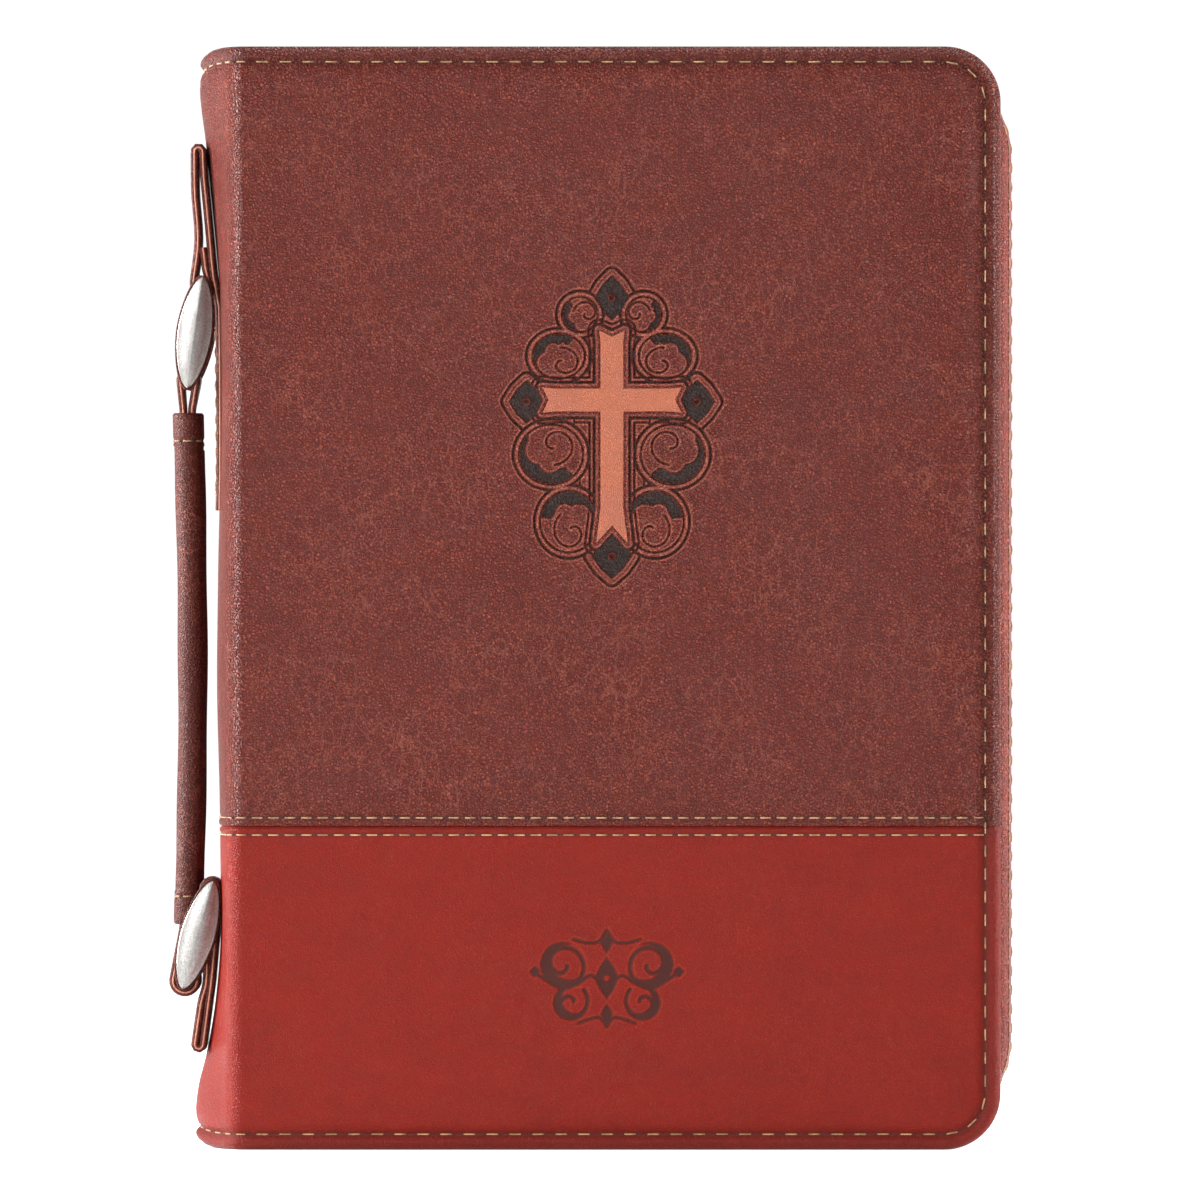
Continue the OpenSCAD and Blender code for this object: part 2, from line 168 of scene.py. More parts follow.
def smooth_curve(points, per_span=10):
    """A Catmull-Rom curve through a few points."""
    p = np.asarray(points, float)
    p = np.vstack([2 * p[0] - p[1], p, 2 * p[-1] - p[-2]])
    t = np.linspace(0, 1, per_span, endpoint=False)[:, None]
    spans = []
    for a, b, c, d in zip(p, p[1:], p[2:], p[3:]):
        spans.append(0.5 * (2 * b + (c - a) * t + (2 * a - 5 * b + 4 * c - d) * t ** 2
                            + (3 * b - a - 3 * c + d) * t ** 3))
    return np.vstack(spans + [p[-2:-1]])


# ---------------------------------------------------------------- materials


class Graph:
    """A material whose node tree is built in few words."""

    def __init__(self, name):
        self.material = bpy.data.materials.new(name)
        self.material.use_nodes = True
        self.tree = self.material.node_tree
        self.shader = self.tree.nodes["Principled BSDF"]

    def put(self, socket, value):
        if isinstance(value, bpy.types.NodeSocket):
            self.tree.links.new(value, socket)
        elif isinstance(value, tuple) and len(value) == 3 and socket.type == "RGBA":
            socket.default_value = (*value, 1)
        else:
            socket.default_value = value

    def add(self, kind, inputs, **settings):
        node = self.tree.nodes.new("ShaderNode" + kind)
        for key, value in settings.items():
            setattr(node, key, value)
        for key, value in inputs.items():
            self.put(node.inputs[key], value)
        return node

    def shade(self, **values):
        for key, value in values.items():
            self.put(self.shader.inputs[key.replace("_", " ")], value)

    def place(self, stretch=(1, 1, 1), sheet=False):
        """Coordinates in millimetres: on the laid-out sheet, or in the object's own space."""
        if sheet:
            source = self.add("Attribute", {}, attribute_name="sheet").outputs["Vector"]
        else:
            source = self.add("TexCoord", {}).outputs["Object"]
        scale = tuple(s / MM for s in stretch)
        return self.add("Mapping", {"Vector": source, "Scale": scale}).outputs["Vector"]

    def noise(self, place, size, detail=2.0, rough=0.5, distortion=0.0):
        """Noise whose features are about size millimetres across."""
        inputs = {"Vector": place, "Scale": 1 / size, "Detail": detail, "Roughness": rough,
                  "Distortion": distortion}
        return self.add("TexNoise", inputs).outputs["Fac"]

    def cells(self, place, size, feature="DISTANCE_TO_EDGE"):
        inputs = {"Vector": place, "Scale": 1 / size, "Randomness": 1.0}
        return self.add("TexVoronoi", inputs, feature=feature).outputs["Distance"]

    def ramp(self, value, low, high, to_low=0.0, to_high=1.0):
        inputs = {"Value": value, "From Min": low, "From Max": high, "To Min": to_low,
                  "To Max": to_high}
        return self.add("MapRange", inputs, clamp=True).outputs["Result"]

    def math(self, operation, a, b=0.0):
        node = self.add("Math", {}, operation=operation)
        self.put(node.inputs[0], a)
        self.put(node.inputs[1], b)
        return node.outputs[0]

    def mix(self, factor, a, b, blend="MIX"):
        node = self.add("Mix", {}, data_type="RGBA", blend_type=blend)
        self.put(node.inputs["Factor"], factor)
        self.put(node.inputs[6], a)
        self.put(node.inputs[7], b)
        return node.outputs[2]

    def warp(self, place, size, amount):
        """Coordinates pushed about by noise, so that a regular pattern wanders."""
        inputs = {"Vector": place, "Scale": 1 / size, "Detail": 2.0}
        push = self.add("TexNoise", inputs).outputs["Color"]
        centred = self.add("VectorMath", {0: push, 1: (0.5, 0.5, 0.5)}, operation="SUBTRACT")
        scaled = self.add("VectorMath", {0: centred.outputs[0], "Scale": amount}, operation="SCALE")
        moved = self.add("VectorMath", {0: place, 1: scaled.outputs[0]}, operation="ADD")
        return moved.outputs[0]

    def bump(self, height, depth, strength=1.0, normal=None):
        inputs = {"Height": height, "Distance": depth * MM, "Strength": strength}
        if normal:
            inputs["Normal"] = normal
        return self.add("Bump", inputs).outputs["Normal"]


def tint(color, factor):
    return tuple(min(1.0, c * factor) for c in color)


def hairlines(g, place, size, turn, stretch, width=0.13):
    """Hair-fine creases about width millimetres wide, as the edges of wandering stretched cells."""
    inputs = {"Vector": place, "Rotation": (0, 0, math.radians(turn)), "Scale": (1, stretch, 1)}
    turned = g.add("Mapping", inputs).outputs["Vector"]
    edge = g.cells(g.warp(turned, 0.7 * size, 0.9 * size), size)
    return g.ramp(edge, 0.2 * width / size, width / size, 1.0, 0.0)


def creases(g, place, cell, fine):
    """Clusters of hair-fine creases in two crossing directions."""
    lines = g.math("MAXIMUM", hairlines(g, place, 6.0 * cell, 28, 0.5),
                   hairlines(g, place, 3.4 * cell, -32, 0.7))
    cluster = g.ramp(g.noise(place, 26.0 * cell, detail=2.0), 0.34, 0.66, 0.15, 1.0)
    return g.math("MULTIPLY", lines, g.math("MULTIPLY", cluster, g.ramp(fine, 0.3, 0.5)))


def clouded(g, place, color, cloud, patches):
    """The dye, mottled warm and cool in patches and darker in wide clouds."""
    wide = g.add("Mapping", {"Vector": place, "Scale": (0.6, 1, 1)}).outputs["Vector"]
    patch = g.ramp(g.noise(wide, 8.0, detail=6.0, rough=0.72), 0.36, 0.66)
    warm = (color[0] * 1.3, color[1] * 1.1, color[2] * 0.6)
    cool = (color[0] * 0.86, color[1] * 0.88, color[2] * 1.25)
    dyed = g.mix(g.math("MULTIPLY", patch, patches), cool, warm)
    return g.mix(g.math("MULTIPLY", cloud, 0.3), dyed, tint(color, 0.72))


def leather(name, color, light, cell=0.85, crease=0.34, relief=1.6, rough=0.36, sheet=False,
            patches=0.6, speckle=1.0, shine=0.28, ink=None):
    """Grained leather.  cell is the size of its pebbles, light the colour of the painted highlights on the pebble
    tops, along the creases and on the rims beside pressed lines, speckle how strongly the painted shade in the
    pebbles' valleys and the painted highlights on their tops show, and ink the colour that the sheet's ink
    attribute presses into it, painted shade along the stitch rows included."""
    g = Graph(name)
    place = g.place(sheet=sheet)
    pebbles = g.ramp(g.cells(g.warp(place, 3.0 * cell, 1.1 * cell), cell), 0.0, 0.3)
    fine = g.noise(place, 0.42 * cell, detail=2.0, rough=0.6)
    lines = creases(g, place, cell, fine)
    cloud = g.ramp(g.noise(place, 30.0, detail=3.0, rough=0.55), 0.3, 0.7)
    dyed = clouded(g, place, color, cloud, patches)
    # painted shade: the dye darkens in the pebbles' valleys and the fine grain's low spots
    valley_shade = g.math("MAXIMUM", g.ramp(pebbles, 0.0, 0.8, 1.0, 0.0),
                     g.ramp(fine, 0.32, 0.5, 1.0, 0.0))
    dyed = g.mix(g.math("MULTIPLY", valley_shade, 0.8 * speckle), dyed, tint(color, 0.2))
    # painted highlight: the pebbles' tops take the light colour
    top_highlights = g.math("MULTIPLY", g.ramp(fine, 0.5, 0.66), pebbles)
    dyed = g.mix(g.math("MULTIPLY", top_highlights, 0.6 * speckle), dyed, light)
    # painted highlight: the hair-fine creases take the light colour
    dyed = g.mix(g.math("MULTIPLY", lines, crease), dyed, light)
    height = g.math("ADD", g.math("MULTIPLY", pebbles, 0.5), g.math("MULTIPLY", fine, 0.5))
    height = g.math("ADD", height, g.math("MULTIPLY", lines, 0.3 * crease))
    gloss = g.ramp(fine, 0.3, 0.75, rough + 0.08, rough - 0.06)
    if ink:
        dyed, gloss, height = apply_ink_and_painted_light(g, dyed, gloss, height, cloud, light, ink)
    g.shade(Base_Color=dyed, Roughness=gloss, Normal=g.bump(height, relief),
            Specular_IOR_Level=shine)
    return g.material


def apply_ink_and_painted_light(g, dyed, gloss, height, cloud, light, ink):
    """Dark duller ink in the pressed lines, a painted highlight of the light colour on the rims beside them, and
    painted shade of the ink colour along the stitch rows, all read from the ink attribute.
    """
    amount = g.add("Attribute", {}, attribute_name="ink").outputs["Fac"]
    rim_highlight = g.ramp(amount, -0.6, 0.0, 0.8, 0.0)
    amount = g.ramp(amount, 0.0, 1.0)
    dyed = g.mix(rim_highlight, dyed, light)
    dyed = g.mix(amount, dyed, g.mix(cloud, tint(ink, 0.8), tint(ink, 1.3)))
    gloss = g.math("ADD", gloss, g.math("MULTIPLY", amount, 0.12))
    height = g.math("MULTIPLY", height, g.ramp(amount, 0.0, 1.0, 1.0, 0.35))
    return dyed, gloss, height


def metal(name, color):
    """Cast metal with an antique finish: soft hammering and dark wax left in the low spots."""
    g = Graph(name)
    place = g.place()
    speckle = g.noise(place, 0.45, detail=4.0, rough=0.65)
    tarnish = g.ramp(g.noise(place, 2.6, detail=3.0), 0.42, 0.75)
    worn = g.mix(g.ramp(speckle, 0.36, 0.64), tint(color, 0.62), color)
    worn = g.mix(g.math("MULTIPLY", tarnish, 0.35), worn, tint(color, 0.45))
    g.shade(Base_Color=worn, Metallic=0.92, Roughness=g.ramp(speckle, 0.3, 0.7, 0.5, 0.34),
            Normal=g.bump(speckle, 0.05))
    return g.material


def woven(name, color, thread=0.45, rough=0.8, relief=0.1):
    """Plain weave, from two crossed sets of threads."""
    g = Graph(name)
    place = g.place()
    waves = []
    for axis in (0, 2):
        turn = [1.0, 1.0, 1.0]
        turn[axis] = 0.0
        inputs = {"Vector": g.add("Mapping", {"Vector": place, "Scale": tuple(turn)}).outputs[0],
                  "Scale": 0.5 / thread, "Distortion": 0.6}
        waves.append(g.add("TexWave", inputs, bands_direction="DIAGONAL").outputs["Fac"])
    weave = g.math("MULTIPLY", waves[0], waves[1])
    fuzz = g.noise(place, 0.3, detail=3.0)
    dyed = g.mix(g.ramp(weave, 0.0, 0.7), tint(color, 0.55), tint(color, 1.25))
    dyed = g.mix(g.math("MULTIPLY", fuzz, 0.4), dyed, tint(color, 0.75))
    g.shade(Base_Color=dyed, Roughness=rough, Normal=g.bump(weave, relief), Sheen_Weight=0.15)
    return g.material


def twisted(name, color):
    """Waxed sewing thread, with its twist."""
    g = Graph(name)
    place = g.place()
    inputs = {"Vector": place, "Scale": 1.6, "Distortion": 1.5}
    twist = g.add("TexWave", inputs, bands_direction="DIAGONAL").outputs["Fac"]
    # painted shade: noise darkens patches of the thread, standing for the groove's shadow along the row
    worn = g.ramp(g.noise(place, 1.6, detail=2.0), 0.4, 0.6)
    dyed = g.mix(twist, tint(color, 0.6), tint(color, 1.25))
    dyed = g.mix(g.math("MULTIPLY", worn, 0.75), dyed, tint(color, 0.32))
    g.shade(Base_Color=dyed, Roughness=0.55, Normal=g.bump(twist, 0.08))
    return g.material


def mottled(name, color, size=1.2, rough=0.7, relief=0.05, contrast=0.25):
    """Board, foam, moulded plastic and cut leather edges."""
    g = Graph(name)
    place = g.place()
    speck = g.noise(place, size, detail=4.0, rough=0.6)
    dyed = g.mix(g.ramp(speck, 0.3, 0.7), tint(color, 1 - contrast), tint(color, 1 + contrast))
    g.shade(Base_Color=dyed, Roughness=rough, Normal=g.bump(speck, relief))
    return g.material


def leaf_edges(name, color):
    """The edges of a block of thin leaves, as fine lines across its thickness."""
    g = Graph(name)
    place = g.place(stretch=(0.02, 1, 0.02))
    lines = g.noise(place, 0.32, detail=3.0, rough=0.7)
    age = g.ramp(g.noise(g.place(), 22.0, detail=3.0), 0.35, 0.75)
    dyed = g.mix(g.ramp(lines, 0.32, 0.62), tint(color, 0.62), color)
    dyed = g.mix(g.math("MULTIPLY", age, 0.2), dyed, tint(color, 0.9))
    g.shade(Base_Color=dyed, Roughness=0.75, Normal=g.bump(lines, 0.12))
    return g.material


SLOT_COLOR = {m["slot"]: tuple(m["base_color"][:3]) for m in frame["record"]["materials"]}
INK = (0.02, 0.009, 0.007)
# colours of the painted highlights on the leathers' grain, creases and the rims beside pressed lines
PANEL_HIGHLIGHT = (0.56, 0.17, 0.11)
BAND_HIGHLIGHT = (0.36, 0.045, 0.016)
PANEL_DYE = (0.24, 0.03, 0.018)
BAND_DYE = (0.205, 0.009, 0.003)
STRAP_DYE = (0.062, 0.011, 0.007)
INLAY_DYE = (0.49, 0.145, 0.065)
PAPER_DYE = (0.62, 0.57, 0.46)

MAT = {
    "panel": leather("panel_leather", PANEL_DYE, PANEL_HIGHLIGHT, sheet=True, ink=INK),
    "band": leather("band_leather", BAND_DYE, BAND_HIGHLIGHT, cell=0.7, crease=0.1, relief=0.25,
                    sheet=True, patches=0.35, speckle=0.3, shine=0.14,
                    ink=tint(INK, 1.3)),
    "gusset": leather("gusset_leather", PANEL_DYE, PANEL_HIGHLIGHT, cell=0.9, crease=0.3, relief=0.5),
    "strap": leather("strap_leather", STRAP_DYE, PANEL_HIGHLIGHT, cell=0.8, crease=0.2, relief=0.2,
                     speckle=0.4, shine=0.16),
    "inlay": leather("inlay_leather", INLAY_DYE, (0.72, 0.3, 0.17), cell=0.6,
                     crease=0.0, relief=0.3, rough=0.55, patches=0.3,
                     speckle=0.4),
    "sleeve": leather("sleeve_leather", STRAP_DYE, PANEL_HIGHLIGHT, cell=1.2, crease=0.2, relief=0.08),
    "bible": leather("bible_leather", (0.012, 0.011, 0.011), (0.05, 0.045, 0.04), cell=1.0,
                     crease=0.2, relief=0.1),
    # light copper: the strap edges' paint, coloured as their highlight line
    "edge": mottled("edge_paint_highlight_colour", (0.42, 0.17, 0.11), size=0.6, rough=0.35),
    # near black, for the painted shade of the needle holes
    "hole": mottled("stitch_hole_shade", (0.02, 0.008, 0.006), size=0.6, rough=0.8),
    "foam": mottled("foam", SLOT_COLOR["foam"], size=0.5, rough=0.95, relief=0.2),
    "board": mottled("board", SLOT_COLOR["board"], size=0.8, rough=0.85),
    "coil": mottled("zip_coil", SLOT_COLOR["zip_coil"], size=0.5, rough=0.38, contrast=0.15),
    "silver": metal("old_silver", (0.42, 0.408, 0.392)),
    "lining": woven("lining_cloth", SLOT_COLOR["lining"], thread=0.5),
    "tape": woven("zip_tape", SLOT_COLOR["zip_tape"], thread=0.35),
    "ribbon": woven("ribbon", SLOT_COLOR["ribbon"], thread=0.25, rough=0.45, relief=0.04),
    "headband": woven("headband", SLOT_COLOR["thread"], thread=0.6),
    "thread": twisted("waxed_thread", SLOT_COLOR["thread"]),
    "paper": leaf_edges("leaf_edges", PAPER_DYE),
    "page": mottled("page", tint(PAPER_DYE, 0.9), size=3.0, rough=0.8, relief=0.02, contrast=0.03),
}


# ---------------------------------------------------------------- the laid-out leather skin
#
# One sheet of leather covers half of the spine, goes round a fold and covers the board.  A place
# on it is (u, z): u runs from the spine's middle round the fold to the fore-edge.

FOLD_ROUND = 4.2          # how far each way the rounding of a fold reaches
PLAN_STEP = 0.2


def plan_curve():
    """The sheet's outline seen from above, front side: its arc lengths, points and normals."""
    bulge = FOLD_X - SPINE_X
    radius = (HALF_T ** 2 + bulge ** 2) / (2 * bulge)
    turn = np.linspace(0, math.asin(HALF_T / radius), 60)
    arc = np.stack([SPINE_X + radius * (1 - np.cos(turn)), -radius * np.sin(turn)], axis=1)
    corner = arc[-1]
    before = resample(arc, PLAN_STEP)
    before = before[np.linalg.norm(before - corner, axis=1) > FOLD_ROUND]
    after = resample([corner, (FORE_X, -HALF_T)], PLAN_STEP)
    after = after[np.linalg.norm(after - corner, axis=1) > FOLD_ROUND]
    t = np.linspace(0, 1, 30)[:, None]
    bend = (1 - t) ** 2 * before[-1] + 2 * t * (1 - t) * corner + t ** 2 * after[0]
    points = np.vstack([before, bend[1:-1], after])
    length = np.concatenate([[0], np.cumsum(np.linalg.norm(np.diff(points, axis=0), axis=1))])
    tangent = unit(np.gradient(points, axis=0))
    normal = np.stack([tangent[:, 1], -tangent[:, 0]], axis=1)
    return length, points, normal


PLAN_U, PLAN_XY, PLAN_N = plan_curve()
SHEET_U = round(float(PLAN_U[-1]), 3)
FOLD_U = SHEET_U - (FORE_X - FOLD_X)

# How far the spine's middle stands out past its CAD face: it flares at both ends, as the
# handle pulls it in
SPINE_SWELL = ((0, 6.3), (13, 6.0), (24, 3.6), (37, 1.4), (55, 0.0), (75, 0.1), (110, 0.8),
               (140, 0.6), (160, 0.2), (177, 0.0), (212, 0.3), (225, 1.2), (237, 2.3),
               (252, 3.8), (264, 5.2), (276, 5.1))
HEAD_DIP, TAIL_DIP = 2.2, 1.9   # how far the spine's ends curve in at the middle
DIP_REACH = 26.0


def spine_swell(z):
    curve = smooth_curve(SPINE_SWELL, per_span=8)
    return np.interp(z, curve[:, 0], curve[:, 1])


def spine_share(u):
    """1 at the spine's middle, 0 from the fold on."""
    return np.cos(0.5 * math.pi * np.clip(u / FOLD_U, 0, 1)) ** 1.5


def spine_dip(share):
    """The spine's ends are round shoulders: nothing at the fold, all of the dip in the middle."""
    return 1 - np.sqrt(1 - np.square(0.999 * share))


def on_sheet(side, u, z, depth=0.0):
    """Points of the sheet, at a depth below its smooth outer face."""
    u, z, depth = np.broadcast_arrays(np.asarray(u, float), z, depth)
    x = np.interp(u, PLAN_U, PLAN_XY[:, 0])
    y = np.interp(u, PLAN_U, PLAN_XY[:, 1])
    nx = np.interp(u, PLAN_U, PLAN_N[:, 0])
    ny = np.interp(u, PLAN_U, PLAN_N[:, 1])
    share = spine_share(u)
    x = x - spine_swell(z) * share
    near_top = smooth_step((z - TOP_Z + DIP_REACH) / DIP_REACH)
    near_base = smooth_step((DIP_REACH - z) / DIP_REACH)
    z = z + spine_dip(share) * (TAIL_DIP * near_base - HEAD_DIP * near_top)
    y = (y - ny * depth) * (-side)
    return np.stack([x - nx * depth, y, z], axis=-1)


def sheet_normal(side, u):
    nx = np.interp(u, PLAN_U, PLAN_N[:, 0])
    ny = np.interp(u, PLAN_U, PLAN_N[:, 1]) * (-side)
    return unit(np.stack([nx, ny, np.zeros_like(nx)], axis=-1))


# The turned edge, from under the cover, round the rolled bead and over the stitched groove:
# distance in from the outline, and depth below the face
STITCH_IN = 3.9
EDGE_PROFILE = ((2.4, 4.7), (0.9, 4.6), (0.25, 4.1), (0.0, 3.2), (0.05, 2.2), (0.3, 1.2),
                (0.8, 0.5), (1.4, 0.12), (2.0, 0.0), (2.6, 0.15), (3.1, 0.55), (3.5, 0.92),
                (STITCH_IN, 1.05), (4.3, 0.9), (4.9, 0.5), (5.7, 0.18), (6.8, -0.04),
                (8.5, -0.14), (11.0, -0.1), (CORNER_R, 0.0))
RIM_LEVELS = 9            # profile points that belong to the bead, where nothing is pressed in


def spread(low, high, step, fine=(), extra=()):
    """Grid lines from low to high; fine is a list of (from, to, step) stretches, extra of
    single lines."""
    lines = [np.linspace(low, high, int(round((high - low) / step)) + 1)]
    for a, b, small in fine:
        lines = [line[(line < a) | (line > b)] for line in lines]
        lines.append(np.linspace(a, b, int(round((b - a) / small)) + 1))
    return np.unique(np.round(np.concatenate([*lines, extra]), 4))


def outline_path(u_lines, z_lines, corner_steps=18):
    """The sheet's outline from the spine's foot round the fore-edge to its head: points and
    directions inwards."""
    r = CORNER_R
    turn = np.linspace(-0.5 * math.pi, 0, corner_steps)[1:-1]
    arc = np.stack([np.cos(turn), np.sin(turn)], axis=1)
    bottom = [((u, 0.0), (0.0, 1.0)) for u in u_lines]
    low_corner = [((SHEET_U - r + r * c, r + r * s), (-c, -s)) for c, s in arc]
    side = [((SHEET_U, z), (-1.0, 0.0)) for z in z_lines]
    high_corner = [((SHEET_U - r + r * c, TOP_Z - r - r * s), (-c, s)) for c, s in arc[::-1]]
    top = [((u, TOP_Z), (0.0, -1.0)) for u in u_lines[::-1]]
    path = np.array(bottom + low_corner + side + high_corner + top)
    return path[:, 0], path[:, 1]


def edge_wrinkles(u, z, inside):
    """Small puckers that run in from the stitches."""
    along = u + z
    wave = np.sin(1.12 * along + 1.7 * np.sin(0.31 * along)) + 0.5 * np.sin(2.7 * along)
    reach = 8 + 4 * np.sin(0.23 * along + 1.0)
    return 0.1 * wave * smooth_step((inside - STITCH_IN) / 0.8) * smooth_step(
        (reach + STITCH_IN - inside) / reach)


def soft_waves(u, z):
    """The slow rise and fall of padding under the leather; it is pressed flat round the cross."""
    flat = smooth_step(1.8 - np.hypot((flat_x(u) - CROSS_X) / 26.0, (z - CROSS_Z + 8.0) / 36.0))
    return (1 - flat) * (0.16 * np.sin(u / 23.0 + 0.7) * np.sin(z / 31.0 + 0.4)
            + 0.07 * np.sin(u / 9.0 + z / 13.0) + 0.05 * np.sin(z / 7.0 - u / 11.0 + 1.0))


SEAM_STITCH_UP = 2.2
SEAM_STITCH_DOWN = 2.1


LAP_SKIRT = 0.02          # the cut edge of the upper leather is this last step of its sheet
LAP_UNDER = 1.5           # how far the band runs on under it


def seam_depth(z, above):
    """The upper leather is lapped over the band, and both rows of stitches pull them down."""
    up = z - SEAM_Z
    if above:
        lap = 0.14 * smooth_step(1 - up / 0.35) - 0.26 * bell((up - 0.75) / 0.8)
        lap = np.where(up < -0.5 * LAP_SKIRT, 0.85, lap)
        return lap + 0.2 * bell((up - SEAM_STITCH_UP) / 0.5)
    lap = 0.55 * smooth_step((up + 0.9) / 0.9) - 0.12 * bell((up + 1.1) / 0.6)
    return lap + 0.24 * bell((up + SEAM_STITCH_DOWN) / 0.5)


def inside_edge(u, z):
    """Distance in from the outline, round corners included."""
    z_in = np.minimum(z, TOP_Z - z)
    corner_u, corner_z = CORNER_R - (SHEET_U - u), CORNER_R - z_in
    straight = np.minimum(SHEET_U - u, z_in)
    rounded = CORNER_R - np.hypot(corner_u, corner_z)
    return np.where((corner_u > 0) & (corner_z > 0), rounded, straight)


def shaped_depth(u, z, inside, above):
    """Depth that padding, puckers and the seam add on both sides alike."""
    open_face = smooth_step(inside / STITCH_IN)
    depth = open_face * soft_waves(u, z) + edge_wrinkles(u, z, inside)
    return depth + np.where(inside > 0, 1.0, 0.5) * seam_depth(z, above)


def finished_depth(u, z, above):
    """Depth of the finished leather away from the pressed ornament."""
    inside = inside_edge(u, z)
    outer = np.array(EDGE_PROFILE[3:])
    return (np.interp(inside, outer[:, 0], outer[:, 1]) + shaped_depth(u, z, inside, above))


def welded(points, faces):
    """Merges points that are the same, and drops faces that this flattens."""
    _, first, index = np.unique(np.round(points, 4), axis=0, return_index=True,
                                   return_inverse=True)
    out = []
    for face in index.ravel()[np.asarray(faces)]:
        kept = [int(face[i]) for i in range(4) if face[i] != face[i - 1]]
        if len(kept) > 2:
            out.append(kept)
    return first, out


def edge_darkening_and_groove_shade(z, inside):
    """Darker over the turned edge, and painted shade in the groove along the row of stitches and along the seam's
    rows of stitches.
    """
    rim = 0.22 * smooth_step(1.6 - inside / STITCH_IN) + 0.4 * bell((inside - STITCH_IN) / 0.8)
    return rim + 0.2 * bell((np.abs(z - SEAM_Z) - 1.6) / 1.3)


def leather_sheet(side, u_lines, z_lines, press, above):
    """Points, sheet coordinates, ink and faces of one side's leather; the ink also carries painted highlight rims
    and painted shade along the stitch rows.  press(u, z) gives the depth and the ink of what is pressed into the
    flat of the cover."""
    u_in = u_lines[u_lines <= SHEET_U - CORNER_R + 1e-6]
    z_in = z_lines[(z_lines >= CORNER_R - 1e-6) & (z_lines <= TOP_Z - CORNER_R + 1e-6)]
    base, inward = outline_path(u_in, z_in)
    profile = np.array(EDGE_PROFILE)
    rim = base[:, None, :] + inward[:, None, :] * profile[None, :, :1]
    rim_depth = np.broadcast_to(profile[:, 1], rim.shape[:2]).copy()
    shallow = 1 - 0.36 * smooth_step((FOLD_U - rim[..., 0]) / 8)
    rim_depth = np.where(rim_depth > 1.5, rim_depth * shallow, rim_depth)
    inside = np.broadcast_to(profile[:, 0], rim.shape[:2]).copy()
    inside[:, :RIM_LEVELS] = 0
    face_u, face_z = np.meshgrid(u_in, z_in)
    u = np.concatenate([rim[..., 0].ravel(), face_u.ravel()])
    z = np.concatenate([rim[..., 1].ravel(), face_z.ravel()])
    depth = np.concatenate([rim_depth.ravel(), np.zeros(face_u.size)])
    edge = np.stack([SHEET_U - face_u, face_z, TOP_Z - face_z]).min(axis=0)
    inside = np.concatenate([inside.ravel(), edge.ravel()])
    faces = grid_faces(*rim.shape[:2]) + grid_faces(*face_u.shape, start=rim[..., 0].size)
    # the rim's grid runs round the outline, so its quads turn the other way
    rim_count = (rim.shape[0] - 1) * (rim.shape[1] - 1)
    faces = [face[::-1] for face in faces[:rim_count]] + faces[rim_count:]
    first, faces = welded(np.stack([u, z, depth], axis=1), faces)
    u, z, depth, inside = u[first], z[first], depth[first], inside[first]
    pressed, ink = press(u, z)
    # painted shade along the stitch rows, and the darker edge, are added to the ink
    ink = ink + edge_darkening_and_groove_shade(z, inside)
    depth = depth + pressed + shaped_depth(u, z, inside, above)
    points = on_sheet(side, u, z, depth)
    if side == BACK:
        faces = [face[::-1] for face in faces]
    sheet = np.stack([u, z, 0.3 * depth + (400 if side == BACK else 0)], axis=1) * MM
    return points, sheet, ink, faces


def part_of(points, sheet, ink, faces, above):
    """The half of a sheet that lies above or below the seam."""
    z = sheet[:, 1] / MM
    middles = np.array([np.mean(z[f]) for f in faces])
    keep = middles > SEAM_Z - LAP_SKIRT if above else middles < SEAM_Z + LAP_UNDER
    kept = [face for face, wanted in zip(faces, keep) if wanted]
    used = np.unique(np.concatenate([np.array(f) for f in kept]))
    renumber = np.full(len(points), -1)
    renumber[used] = np.arange(len(used))
    return points[used], sheet[used], ink[used], [renumber[f].tolist() for f in kept]


def flat_u(x):
    """u of a place on the flat of the cover."""
    return SHEET_U - (FORE_X - x)


def flat_x(u):
    return FORE_X - (SHEET_U - u)


# ---------------------------------------------------------------- pressed ornament

CROSS_LOW, CROSS_HIGH = box_mm("cross_inlay")
CROSS_X = 0.5 * (CROSS_LOW.x + CROSS_HIGH.x)
CROSS_Z = CROSS_HIGH.z - 17.4
CROSS_HALF_BAR = 2.9
# an arm's direction in half turns, its reach, and the flare and notch of its end
CROSS_ARMS = ((0.0, 17.4, 0.3, 1.5), (0.5, 17.4, 0.3, 1.5), (1.0, 17.4, 0.3, 1.5),
              (1.5, 35.9, 1.1, 4.5))


def cross_outline():
    """The cross's outline round its middle, six points to an arm."""
    points = []
    for turn, reach, flare, notch in CROSS_ARMS:
        a = turn * math.pi
        along = np.array([math.cos(a), math.sin(a)])
        across = np.array([-math.sin(a), math.cos(a)])
        h = CROSS_HALF_BAR
        for s, w in ((h, -h), (reach - 2 * notch, -h), (reach, -h - flare), (reach - notch, 0),
                     (reach, h + flare), (reach - 2 * notch, h)):
            points.append(along * s + across * w)
    return np.array(points)


def segment_distance(x, z, line):
    """Distance of many points to a polyline."""
    best = np.full(x.shape, 1e9)
    for (ax, az), (bx, bz) in zip(line[:-1], line[1:]):
        dx, dz = bx - ax, bz - az
        size = dx * dx + dz * dz + 1e-12
        t = np.clip(((x - ax) * dx + (z - az) * dz) / size, 0, 1)
        best = np.minimum(best, np.hypot(x - ax - t * dx, z - az - t * dz))
    return best


def within(x, z, ring):
    """Whether many points lie inside a closed polygon."""
    odd = np.zeros(x.shape, bool)
    for (ax, az), (bx, bz) in zip(ring, np.roll(ring, -1, axis=0)):
        crosses = (az > z) != (bz > z)
        if az != bz:
            odd ^= crosses & (x < (bx - ax) * (z - az) / (bz - az) + ax)
    return odd


def ring_distance(x, z, ring):
    """Signed distance to a closed polygon, negative inside."""
    ring = np.asarray(ring, float)
    far = segment_distance(x, z, np.vstack([ring, ring[:1]]))
    return np.where(within(x, z, ring), -far, far)


